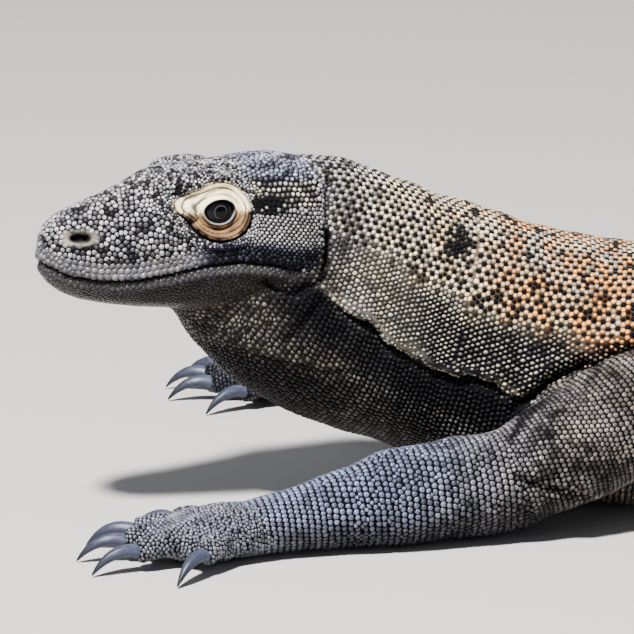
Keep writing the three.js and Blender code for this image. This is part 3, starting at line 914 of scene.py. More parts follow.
@dataclass
class Claw:
    """A horn claw, curved down to its point, with lengthwise ridges.

    Lengths are in millimetres. `foreshorten`, `point` and `sunk` are shares: of the length lost to the
    curve, of the thickness left at the tip, and of the length that is hidden in the toe.
    """

    node: str
    length: float = 31.0
    base_z: float = 12.0
    rise: float = 9.0
    droop: float = 19.8
    half: float = 4.3
    tall: float = 6.9
    foreshorten: float = 0.12
    point: float = 0.12
    sunk: float = 0.16
    lowest: float = 0.5
    rings: int = 22
    around: int = 16
    base: Array = field(init=False)
    out: Array = field(init=False)

    def __post_init__(self) -> None:
        """Finds the claw's root and direction from its CAD node."""
        points = Shell.of_mesh(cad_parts[self.node].data).points
        points = np.unique(np.round(points, 6), axis=0)
        tip = points[np.argmin(points[:, 2])]
        out = tip - points.mean(0)
        out[2] = 0
        for _ in range(3):
            out = out / np.linalg.norm(out)
            reach = points @ out
            root = points[reach < reach.min() + 0.4 * MM].mean(0)
            out = tip - root
            out[2] = 0
        self.out = out / np.linalg.norm(out)
        self.base = root

    def centre_line(self, share: Array) -> Array:
        """Points along the claw's middle, in metres, for shares of its length."""
        far = self.length * share * (1 - self.foreshorten * share)
        height = self.base_z + self.rise * share - self.droop * share * share
        line = np.zeros((len(share), 3))
        line[:, :2] = self.base[:2] + self.out[:2] * far[:, None] * MM
        line[:, 2] = height * MM
        return line

    def build(self, finish: "ClawHorn") -> Object:
        """Makes the claw and returns its object."""
        share = np.linspace(-self.sunk, 1.0, self.rings)
        line = self.centre_line(share)
        along = unit(np.gradient(line, axis=0))
        aside = np.cross(self.out, [0, 0, 1])
        up = np.cross(aside, along)
        thin = 1 - (1 - self.point) * np.maximum(share, 0) ** 2.3
        thin *= np.where(share < 0, 0.8, 1.0) * (1 + 0.05 * bell(share, 0.03, 0.05))
        turn = np.arange(self.around) / self.around * 2 * math.pi
        ridge = 1 + 0.07 * np.cos(turn * 6)
        c, s = np.cos(turn), np.sin(turn)
        wide = np.abs(c) ** 0.9 * np.sign(c) * self.half * ridge
        blunt = np.where(s > 0, np.abs(s) ** 1.25, np.abs(s) ** 0.8)
        high = blunt * np.sign(s) * self.tall / 2 * ridge * 1.02
        rings = [
            line[i] + (aside[None, :] * wide[:, None] * 0.98 + up[i][None, :] * high[:, None]) * thin[i] * MM
            for i in range(self.rings)
        ]
        points = np.concatenate(rings + [line[:1], line[-1:]])
        points[:, 2] = np.maximum(points[:, 2], self.lowest * MM)
        inside_out = tube_faces(self.rings, self.around)
        mesh = Shell(points, inside_out[:, [0, 2, 1]]).mesh(self.node)
        store(mesh, "share", np.concatenate([np.repeat(share, self.around), [share[0], 1.0]]))
        mesh.materials.append(finish.material())
        return add_piece(mesh, "claw_horn", self.node)


def add_piece(mesh: Mesh, slot: str, *nodes: str) -> Object:
    """Puts a mesh in the scene as part of the animal.

    Args:
        mesh: the piece's mesh.
        slot: not used.
        nodes: the CAD nodes that it stands for; none for what lies over them.

    Returns:
        The piece's object.
    """
    piece = in_scene(mesh.name, mesh)
    if nodes:
        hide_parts(*nodes)
    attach(piece, "root")
    return piece


# ---- where scales stand

@dataclass
class Roots:
    """Places for scales on the skin, in the order in which they were found.

    Each has the direction of its length, the distance to its neighbours in millimetres, whether it is a
    regular dark dot, its flatness from 0 to 1, and its place on the unwrap.
    """

    points: Array
    along: Array
    pitch: Array
    dot: Array
    plate: Array
    chart: Array

    @classmethod
    def of(cls, points: Array, along: Array, pitch: float | Array, dot: Array | bool = False,
           plate: float = 0.0) -> "Roots":
        """Makes roots from points, with no place on the unwrap yet.

        Args:
            points: the places, in metres.
            along: direction of each scale's length.
            pitch: distance from scale to scale, in millimetres.
            dot: whether the place is one of the regular dark dots.
            plate: 0 for a round bead, 1 for a flat plate.

        Returns:
            The roots.
        """
        n, full = len(points), np.broadcast_to
        return cls(points, along, full(float(pitch) if np.isscalar(pitch) else pitch, n).copy(),
                   full(dot, n).copy(), full(float(plate), n).copy(), np.zeros((n, 2)))

    def take(self, chosen: Array) -> "Roots":
        """The chosen roots only."""
        return Roots(*(getattr(self, name)[chosen] for name in self.__dataclass_fields__))

    @classmethod
    def joined(cls, sets: list["Roots"]) -> "Roots":
        """Several sets of roots as one."""
        return cls(*(np.concatenate([getattr(s, name) for s in sets]) for name in cls.__dataclass_fields__))


@dataclass
class Surface:
    """The finished skin, ready to be asked about any place on it.

    `throws` is how many places are thrown for each scale that would fit.
    """

    skin: Skin
    backbone: Backbone
    throws: float = 7.0
    tree: BVHTree = field(init=False)
    normals: Array = field(init=False)

    def __post_init__(self) -> None:
        """Builds the search tree and finds the normals."""
        self.tree = self.skin.shell.tree()
        self.normals = self.skin.shell.normals()

    def settle(self, points: Array) -> tuple[Array, Array, Shares]:
        """Drops points on the skin.

        Args:
            points: places near the skin, in metres.

        Returns:
            The places on the skin, the skin's normals there, and the share of each region.
        """
        found = [self.tree.find_nearest(p) for p in points.tolist()]
        places = np.array([f[0] for f in found])
        faces = self.skin.shell.faces[np.array([f[2] for f in found])]
        corners = self.skin.shell.points[faces]
        gaps = np.linalg.norm(corners - places[:, None, :], axis=2)
        weights = 1 / (gaps + 1e-5)
        weights /= weights.sum(1, keepdims=True)
        normals = unit((self.normals[faces] * weights[:, :, None]).sum(1))
        shares = {r: (self.skin.regions[r][faces] * weights).sum(1) for r in Region}
        return places, normals, shares

    def scatter(self, wanted: Array, pitch: Array, seed: int) -> tuple[Array, Array]:
        """Throws many places on part of the skin.

        Args:
            wanted: one flag for each point of the skin.
            pitch: the local distance between scales, in millimetres, for each point of the skin.
            seed: seed of the throw.

        Returns:
            The places, in metres, and the pitch at each.
        """
        rng = np.random.default_rng(seed)
        shell = self.skin.shell
        faces = shell.faces[wanted[shell.faces].all(1)]
        corners = shell.points[faces]
        cross = np.cross(corners[:, 1] - corners[:, 0], corners[:, 2] - corners[:, 0])
        local = pitch[faces].mean(1)
        load = np.linalg.norm(cross, axis=1) / 2 / (local * MM) ** 2
        picked = rng.choice(len(faces), int(load.sum() * self.throws), p=load / load.sum())
        r1, r2 = np.sqrt(rng.random(len(picked))), rng.random(len(picked))
        weights = np.stack([1 - r1, r1 * (1 - r2), r1 * r2], 1)
        return (corners[picked] * weights[:, :, None]).sum(1), local[picked]


@dataclass
class Thrower:
    """Keeps places apart: each new one is kept only if nothing stands too near."""

    cell: float = 5.0
    cells: dict = field(default_factory=dict)

    def key(self, p: Array) -> tuple[int, int, int]:
        """The cell that a place in millimetres lies in."""
        return (int(p[0] // self.cell), int(p[1] // self.cell), int(p[2] // self.cell))

    def free(self, p: Array, gap: float) -> bool:
        """Whether nothing stands nearer to `p` than `gap`; both in millimetres."""
        x, y, z = p
        limit = gap * gap
        c = self.cell
        for i in range(int((x - gap) // c), int((x + gap) // c) + 1):
            for j in range(int((y - gap) // c), int((y + gap) // c) + 1):
                for k in range(int((z - gap) // c), int((z + gap) // c) + 1):
                    for q in self.cells.get((i, j, k), ()):
                        if (q[0] - x) ** 2 + (q[1] - y) ** 2 + (q[2] - z) ** 2 < limit:
                            return False
        return True

    def add(self, points: Array, gaps: Array) -> Array:
        """Adds the places that are free, in order.

        Args:
            points: places in metres.
            gaps: least distance from its neighbours for each, in millimetres.

        Returns:
            One flag for each place: whether it was kept.
        """
        kept = np.zeros(len(points), bool)
        for n, (p, gap) in enumerate(zip((points / MM).tolist(), gaps.tolist())):
            if self.free(p, gap):
                self.cells.setdefault(self.key(p), []).append(p)
                kept[n] = True
        return kept


@dataclass(frozen=True)
class Band:
    """A stretch of the body whose rows of scales are evenly pitched, in millimetres."""

    start: float
    end: float
    across: float
    spacing: float


DOTS_END = 560  # how far back from the nose the regular dark dots go
BANDS = (
    Band(158, 262, 2.95, 2.75), Band(262, 420, 3.3, 3.0), Band(420, 700, 4.3, 3.8), Band(700, 985, 4.2, 3.8),
    Band(985, 1300, 3.7, 4.9), Band(1300, 1700, 3.3, 4.7), Band(1700, 2124, 2.7, 4.0),
)
SECTIONS = (  # (a at the top, top, a at the bottom, bottom)
    (141, 199, 78, 124), (163, 206, 88, 106), (184, 202, 115, 76), (209, 192, 149, 54), (236, 179, 191, 37),
    (269, 168, 232, 23), (299, 157, 274, 9), (332, 149, 319, 0), (359, 146, 354, 0), (410, 145, 410, 0),
    (600, 150, 600, 0), (710, 145, 710, 0), (790, 134, 790, 0), (905, 109, 905, 0), (960, 97, 960, 0),
    (1050, 86, 1050, 0), (1200, 73, 1200, 0), (1400, 59, 1400, 0), (1600, 45.5, 1600, 0), (1800, 32, 1800, 0),
    (1970, 21, 1970, 0), (2080, 12.5, 2080, 0), (2130, 5, 2130, 1),
)


@dataclass
class RowLayer:
    """Lays rows of scales round a stretch of the animal.

    A ring round the body has `rays` points. `reach` is how far to either side a limb's direction is read, in
    millimetres.
    """

    surface: Surface
    rays: int = 96
    reach: float = 14.0

    def ring(self, centre: Array, up: Array, aside: Array, rays: int) -> Array | None:
        """The skin's outline in one plane.

        Args:
            centre: a point inside, in metres.
            up: direction in which the outline starts and ends.
            aside: the other direction of the plane.
            rays: how many points.

        Returns:
            The outline's points, with the first one repeated last, or None where it is open.
        """
        turns = np.arange(rays) / rays * 2 * math.pi
        ways = np.cos(turns)[:, None] * up + np.sin(turns)[:, None] * aside
        start = Vector(centre)
        hits = [self.surface.tree.ray_cast(start, Vector(way))[0] for way in ways]
        if any(h is None for h in hits):
            return None
        return np.array(hits + [hits[0]])

    def row(self, outline: Array, number: int, pitch: float) -> tuple[Array, Array]:
        """Places scales on one row.

        Args:
            outline: the skin's outline in the row's plane.
            number: the row's number; every other row is shifted by half a pitch.
            pitch: distance between scales, in millimetres.

        Returns:
            The places, and whether each is a dark dot.
        """
        lengths = np.linalg.norm(np.diff(outline, axis=0), axis=1) / MM
        arc = np.concatenate([[0], np.cumsum(lengths)])
        half = arc[-1] / 2
        shift = 0.5 * (number % 2)
        columns = np.arange(-int(half / pitch), int(half / pitch) + 1)
        at = (columns + shift) * pitch
        inside = (at > -half) & (at < half)
        columns, at = columns[inside], at[inside]
        lattice = (columns - (number - number % 2) // 2 - number) % 3 == 0
        at = at % arc[-1]
        return np.stack([np.interp(at, arc, outline[:, k]) for k in range(3)], 1), lattice

    def body(self, band: Band) -> Roots:
        """All rows of a band of the neck, trunk or tail."""
        bone = self.surface.backbone
        made, a, number = [], band.start, 0
        while a < band.end:
            low = curve(SECTIONS, a, 2)
            top, bottom = curve(SECTIONS, a, 1), curve(SECTIONS, a, 3)
            slope = (curve(SECTIONS, a + 2, 2) - low) / 2
            ends = bone.place(np.array([[a, 0, top], [low, 0, bottom]]))
            up = unit((ends[0] - ends[1])[None])[0]
            turn = bone.heading((a + low) / 2)[0]
            aside = np.array([-math.sin(turn), math.cos(turn), 0.0])
            outline = self.ring(ends.mean(0), up, aside, self.rays)
            if outline is not None:
                places, lattice = self.row(outline, number, band.across)
                along = np.broadcast_to([math.cos(turn), math.sin(turn), 0.0], places.shape)
                made.append(Roots.of(places, along, band.across, lattice & (a < DOTS_END)))
            a += band.spacing * 2 / (1 + max(float(slope), 0.4))
            number += 1
        return Roots.joined(made)

    def tube(self, axis: Array, pitch: float, spacing: float, plate: float, rays: int = 40) -> Roots:
        """Rows round a limb or a digit.

        Args:
            axis: points along its middle, in metres, toward the claws.
            pitch: distance between scales of a row, in millimetres.
            spacing: distance between rows, in millimetres.
            plate: 0 for round beads, 1 for flat plates.
            rays: points of each outline.

        Returns:
            The roots.
        """
        lengths = np.linalg.norm(np.diff(axis, axis=0), axis=1) / MM
        arc = np.concatenate([[0], np.cumsum(lengths)])
        made = []
        for number, at in enumerate(np.arange(0, arc[-1], spacing)):
            centre, ahead, behind = (
                np.array([np.interp(np.clip(x, 0, arc[-1]), arc, axis[:, k]) for k in range(3)])
                for x in (at, at + self.reach, at - self.reach)
            )
            along = unit((ahead - behind)[None])[0]
            aside = unit(np.cross(along, [0, 0, 1])[None])[0]
            outline = self.ring(centre, np.cross(aside, along), aside, rays)
            if outline is None:
                continue
            places, lattice = self.row(outline, number, pitch)
            made.append(Roots.of(places, np.broadcast_to(along, places.shape), pitch, lattice, plate))
        return Roots.joined(made)


# stops along the middle of each limb, (x, y, z) in the frame in mm
LEFT_ARM = (
    (-222, -52, 76), (-262, -74, 62), (-296, -87, 46), (-322, -93, 35), (-350, -100, 31), (-394, -112, 27),
    (-434, -123, 21), (-468, -131, 17), (-487, -135, 15), (-505, -138, 13),
)
RIGHT_ARM = (
    (-222, 52, 76), (-258, 80, 62), (-288, 102, 46), (-305, 114, 35), (-330, 131, 31), (-366, 153, 27),
    (-400, 173, 21), (-428, 187, 17), (-448, 195, 15), (-465, 202, 13),
)
LEFT_LEG = (
    (268, -46, 66), (238, -92, 56), (206, -134, 44), (192, -150, 37), (222, -160, 33), (256, -172, 25),
    (280, -179, 18), (286, -184, 16), (268, -199, 15), (246, -215, 13),
)
# first stop and the one after the last, pitch, distance between rows and flatness of each stretch of a limb
ARM_ROWS = ((0, 4, 3.0, 2.8, 0.3), (3, 7, 3.4, 3.8, 0.4), (6, 10, 2.7, 3.6, 0.9))
LEG_ROWS = ((0, 4, 3.9, 3.6, 0.3), (3, 7, 3.9, 4.3, 0.4), (6, 10, 3.2, 3.8, 0.9))
RIGHT_LEG = tuple((x, -y, z) for x, y, z in LEFT_LEG)
HIND_FROM = 0.05  # what lies beyond this x, in metres, is a hind leg and not a foreleg


@dataclass
class HeadPlan:
    """How big scales are on the head, and where rows of them run, in millimetres."""

    backbone: Backbone
    socket: EyeSocket

    def pitch(self, straight: Array) -> Array:
        """Distance between scales at each point."""
        a, z = straight[:, 0], straight[:, 2]
        lip = above(MOUTH, straight)
        size = 2.55 + 0.35 * smooth(110, 122, a) * smooth(180, 190, z)
        size = size + 0.4 * smooth(80, 64, a) * smooth(194, 186, z)
        size = size - 0.35 * bell(a, 92, 22) * smooth(190, 196, z)
        size = size - 0.2 * smooth(112, 122, a) * smooth(182, 176, z) * smooth(-1, 1, lip)
        ring = self.socket.ring(straight)
        size = np.where((ring < 3.0) & (np.abs(straight[:, 1]) > 9), np.minimum(size, 1.75), size)
        return np.where(lip < 0, 2.3, size)

    def bare(self, straight: Array) -> Array:
        """Whether the skin shows without scales at each point."""
        a, z = straight[:, 0], straight[:, 2]
        lip = np.abs(above(MOUTH, straight))
        side = np.abs(straight[:, 1]) > 8
        lids = (self.socket.ring(straight) < np.where(z > self.socket.z, 2.12, 2.24)) & side
        mouth = (lip < 0.9) & (a < 142)
        nostril = (NOSTRIL.ring(straight) < 1.75) & side
        ear = (EAR.offset(straight)[0] < 1.6) & side
        return lids | mouth | nostril | ear

    def seeds(self) -> list[tuple[Array, float, float]]:
        """Rows of scales that follow the lips, the temple and the cheek.

        Returns:
            For each set: rows of (a, z), the pitch, and 1 for flat plates or 0 for beads.
        """
        sets = []
        for row, (rise, step, plate) in enumerate(
                ((2.5, 3.9, 1.0), (5.7, 3.7, 1.0), (8.8, 3.4, 0.9), (-2.4, 3.8, 1.0), (-5.4, 3.4, 1.0))):
            a = np.arange(2 + (row % 2) * step / 2, 136 if rise < 6 else 76, step)
            sets.append((np.stack([a, curve(MOUTH, a) + rise], 1), step, plate))
        rows = []
        for row, z in enumerate(np.arange(187, 201, 2.7)):
            a = np.arange(120 + (row % 2) * 1.55, 158, 3.1)
            rows.append(np.stack([a, z + np.sin(a * 0.35 + row) * 0.35 - (a - 120) * 0.06], 1))
        sets.append((np.concatenate(rows), 2.8, 0.0))
        rows = []
        for row, z in enumerate(np.arange(160, 184, 1.8)):
            a = np.arange(119 + (row % 2) * 1.45, 156, 2.9)
            rows.append(np.stack([a, z - (a - 119) * 0.16 + np.sin(a * 0.5 + row) * 0.25], 1))
        sets.append((np.concatenate(rows), 2.2, 0.35))
        return sets


@dataclass
class ScalePlanter:
    """Finds the root of every scale.

    `stray` is how far a scale lies off its row and `row_gap` how near another may lie, as shares of the
    pitch. The pitches are those of scattered scales, in millimetres.
    """

    surface: Surface
    head: HeadPlan
    rows: RowLayer
    claws: list[Claw]
    stray: float = 0.11
    row_gap: float = 0.7
    arm_pitch: float = 3.1
    leg_pitch: float = 3.9
    paw_pitch: float = 2.4

    def head_seeds(self) -> Roots:
        """Roots of the rows on the face."""
        bone, made = self.surface.backbone, []
        for seeds, pitch, plate in self.head.seeds():
            for side in SIDES.values():
                inside = bone.place(np.stack([seeds[:, 0], np.full(len(seeds), 4.0 * side), seeds[:, 1]], 1))
                turn = bone.heading(seeds[:, 0])
                ways = np.stack([-np.sin(turn), np.cos(turn), np.zeros(len(seeds))], 1) * side
                hits = [self.surface.tree.ray_cast(Vector(p), Vector(w))[0] for p, w in zip(inside, ways)]
                kept = np.array([h is not None for h in hits])
                places = np.array([h for h in hits if h is not None])
                along = np.stack([np.cos(turn), np.sin(turn), np.zeros(len(turn))], 1)[kept]
                made.append(Roots.of(places, along, pitch, plate=plate))
        return Roots.joined(made)

    def digits(self) -> list[Roots]:
        """Roots of the rows round every digit."""
        made = []
        for claw in self.claws:
            long = 62 if "foot" in claw.node else 34
            share = np.array([1.0, 0.62, 0.3, 0.03])
            line = claw.base - claw.out * (share * long)[:, None] * MM
            line[:, 2] = np.array([12.5, 14.5, 13.5, 12.0]) * MM
            made.append(self.rows.tube(line, 2.5, 2.4, 0.5, 20))
        return made

    def laid_rows(self) -> list[tuple[Roots, Part]]:
        """All rows, each with the part of the animal where they hold."""
        made = [(self.head_seeds(), Part.HEAD)]
        made += [(self.rows.body(band), Part.BODY) for band in BANDS]
        for line, stretches in ((LEFT_ARM, ARM_ROWS), (RIGHT_ARM, ARM_ROWS), (LEFT_LEG, LEG_ROWS),
                                (RIGHT_LEG, LEG_ROWS)):
            axis = np.array(line, float) * MM
            for start, end, pitch, spacing, plate in stretches:
                made.append((self.rows.tube(axis[start:end], pitch, spacing, plate), Part.LIMBS))
        made += [(digit, Part.LIMBS) for digit in self.digits()]
        return made

    def relax_head(self, points: Array, pitch: Array, fixed: int, rounds: int = 6) -> Array:
        """Spreads the head's scattered roots evenly between the fixed ones.

        Args:
            points: the roots; the first `fixed` of them stay.
            pitch: distance wanted at each, in millimetres.
            fixed: how many stay.
            rounds: how many rounds.

        Returns:
            The spread roots.
        """
        for _ in range(rounds):
            tree = search_tree(points)
            push = np.zeros_like(points)
            for i in range(fixed, len(points)):
                reach = pitch[i] * MM * 1.15
                for q, _, gap in tree.find_range(points[i], reach):
                    if gap > 1e-6:
                        push[i] += (points[i] - np.array(q)) / gap * (reach - gap) * 0.22
            points = points + push
            points[fixed:], _, _ = self.surface.settle(points[fixed:])
        return points

    def plant(self) -> tuple[Roots, Array, Shares]:
        """Finds all roots.

        Returns:
            The roots on the skin, the skin's normals at them and the share of each region.
        """
        surface, thrower = self.surface, Thrower()
        rng = np.random.default_rng(3)
        bone = surface.backbone
        kept = []
        for roots, part in self.laid_rows():
            places, _, shares = surface.settle(roots.points)
            good = (part.share(shares) > 0.5) & (places[:, 2] > ABOVE_FLOOR)
            good &= ~self.head.bare(bone.straighten(places))
            roots.points = places
            if part != Part.HEAD:
                stray = rng.uniform(-self.stray, self.stray, places.shape)
                roots.points = places + stray * roots.pitch[:, None] * MM
            roots = roots.take(good)
            kept.append(roots.take(thrower.add(roots.points, roots.pitch * self.row_gap)))
        fixed = sum(len(r.points) for r in kept)
        log.info("scales: %d in rows", fixed)
        shell = surface.skin.shell
        straight = bone.straighten(shell.points)
        regions = surface.skin.regions
        on_head = regions[Region.HEAD] > 0.5
        across = curve([(band.start, band.across) for band in BANDS], straight[:, 0])
        pitch = np.where(on_head, self.head.pitch(straight), self.arm_pitch)
        pitch = np.where(Part.BODY.share(regions) > 0.5, across, pitch)
        pitch = np.where(regions[Region.PAW] > 0.5, self.paw_pitch, pitch)
        on_leg = (regions[Region.PAW] < 0.5) & (shell.points[:, 0] > HIND_FROM)
        pitch = np.where(on_leg & (Part.LIMBS.share(regions) > 0.5), self.leg_pitch, pitch)
        clear = shell.points[:, 2] > ABOVE_FLOOR
        for seed, wanted, gap, plate in ((11, on_head, 0.78, 0.65), (12, ~on_head, 0.74, 0.1)):
            places, local = surface.scatter(wanted & clear, pitch, seed)
            bare = self.head.bare(bone.straighten(places))
            places, local = places[~bare], local[~bare]
            chosen = thrower.add(places, local * gap)
            places, local = places[chosen], local[chosen]
            made = Roots.of(places, np.broadcast_to([1.0, 0.0, 0.0], places.shape), local, plate=plate)
            if wanted is on_head:
                near, count = kept[0], len(kept[0].points)
                spread = self.relax_head(
                    np.concatenate([near.points, places]), np.concatenate([near.pitch, local]), count)
                made.points = spread[count:]
            kept.append(made)
            log.info("scales: %d scattered", len(places))
        roots = Roots.joined(kept)
        roots.points, normals, shares = surface.settle(roots.points)
        return roots, normals, shares


# ---- the scales themselves

@dataclass
class ScaleCutter:
    """Gives every scale its outline and height, and joins the scales into pieces.

    `reach` is the furthest a scale goes, as a share of its pitch. `sunk` is how deep its edge lies in the
    skin and `floor` how low it may come, in mm. `patch` and `patch_top` are its size on the unwrap.
    """

    sides: int = 6
    reach: float = 0.66
    sunk: float = 0.3
    floor: float = 0.05
    piece_scales: int = 10500
    neighbours: int = 8
    uneven: tuple = (0.93, 1.04)
    patch: float = 0.0015
    patch_top: float = 0.001

    def outlines(self, roots: Roots, normals: Array, fill: Array,
                 weight: Array) -> tuple[Array, Array, Array]:
        """Outlines that end short of halfway to the neighbours.

        Args:
            roots: the scales' places.
            normals: the skin's normals there.
            fill: shares of the way to its border that each scale reaches, along its length and across it.
            weight: a scale's border lies further from it where its weight is above its neighbour's.

        Returns:
            Two directions across each scale and its reach toward each corner, in millimetres.
        """
        along = roots.along - (roots.along * normals).sum(1)[:, None] * normals
        along = unit(along)
        aside = np.cross(normals, along)
        tree = search_tree(roots.points)
        found = [tree.find_n(p, self.neighbours + 1)[1:] for p in roots.points.tolist()]
        near = np.array([[n[1] for n in some] for some in found])
        away = (roots.points[near] - roots.points[:, None, :]) / MM
        dx = (away * along[:, None, :]).sum(2)
        dy = (away * aside[:, None, :]).sum(2)
        flat = np.maximum(dx * dx + dy * dy, 0.2) * weight[:, None] / (weight[:, None] + weight[near])
        reach = np.empty((len(near), self.sides))
        for k in range(self.sides):
            turn = 2 * math.pi * k / self.sides
            toward = dx * math.cos(turn) + dy * math.sin(turn)
            bound = np.where(toward > 1e-6, flat / np.maximum(toward, 1e-6), 1e3)
            reach[:, k] = bound.min(1)
        limit = (roots.pitch * self.reach)[:, None] * np.array([1.18, 1, 1, 1.18, 1, 1])
        turns = 2 * math.pi * np.arange(self.sides) / self.sides
        share = np.hypot(fill[:, :1] * np.cos(turns), fill[:, 1:] * np.sin(turns))
        return along, aside, np.minimum(reach, limit) * share

    def cut(self, roots: Roots, normals: Array, height: Array, tilt: Array, tones: dict[str, Array],
            chosen: Array, outline: tuple, name: str) -> Mesh:
        """Builds the mesh of the chosen scales.

        Args:
            roots: all scales' places.
            normals: the skin's normals at them.
            height: how high each stands, in millimetres.
            tilt: how far each one's free end stands up.
            tones: the marking values of each.
            chosen: numbers of the scales in this piece.
            outline: what `outlines` returned.
            name: the mesh's name.

        Returns:
            The mesh.
        """
        rng = np.random.default_rng(len(name) + int(chosen[0]))
        along, aside, reach = (part[chosen] for part in outline)
        reach = reach * rng.uniform(*self.uneven, (len(chosen), 1))
        root, normal, high = roots.points[chosen], normals[chosen], height[chosen][:, None, None]
        plate, slant = roots.plate[chosen][:, None, None], tilt[chosen][:, None, None]
        turn = 2 * math.pi * np.arange(self.sides) / self.sides
        c, s = np.cos(turn)[None, :, None], np.sin(turn)[None, :, None]
        ways = c * along[:, None, :] + s * aside[:, None, :]
        spoke = ways * reach[:, :, None]
        mean = reach.mean(1)[:, None, None]
        up = normal[:, None, :]
        base = spoke - up * self.sunk
        shoulder = (spoke * 0.7 + ways * mean * 0.3) * (0.72 + 0.2 * plate)
        shoulder = shoulder + up * high * (0.74 + 0.2 * plate) * (1 + slant * np.cos(turn)[None, :, None])
        lean = rng.normal(0, 0.14, (len(chosen), 2, 1, 1)) * mean[:, None]
        lean[:, 0] += mean * (0.05 + 0.7 * slant)
        apex = up * high + along[:, None, :] * lean[:, 0] + aside[:, None, :] * lean[:, 1]
        rings = np.concatenate([base, shoulder, apex], 1)
        points = (root[:, None, :] + rings * MM).reshape(-1, 3)
        points[:, 2] = np.maximum(points[:, 2], self.floor * MM)
        n, s = len(chosen), self.sides
        k = np.arange(s)
        m = (k + 1) % s
        top, per = np.full(s, 2 * s), 2 * s + 1
        pattern = np.concatenate([
            np.stack([k, m, m + s], 1), np.stack([k, m + s, k + s], 1), np.stack([k + s, m + s, top], 1)])
        faces = (pattern[None] + (np.arange(n) * per)[:, None, None]).reshape(-1, 3)
        mesh = Shell(points, faces).mesh(name)
        flat = roots.plate[chosen][:, None]
        # Painted shade and highlight: the pale value is darkest at each scale's sunk foot, where shade falls
        # between scales, brighter at its shoulder and brightest at its top as a painted highlight; flat
        # plates get a lighter foot.
        shade = np.concatenate(
            [np.repeat(0.8 * flat ** 2, s, 1), np.repeat(0.76 + 0.22 * flat, s, 1), 1.24 - 0.2 * flat], 1)
        for key, values in tones.items():
            full = np.repeat(values[chosen], per) * (shade.ravel() if key == "pale" else 1)
            store(mesh, key, full)
        circle = np.stack([np.cos(turn), np.sin(turn)], 1)
        patch = np.concatenate([circle * self.patch, circle * self.patch_top, [[0, 0]]])
        places = (roots.chart[chosen][:, None, :] + patch[None]).reshape(-1, 2)
        loops = np.empty(len(mesh.loops), np.int32)
        mesh.loops.foreach_get("vertex_index", loops)
        mesh.uv_layers.new(name="OFBake").data.foreach_set("uv", places[loops].ravel())
        return mesh


# ---- markings

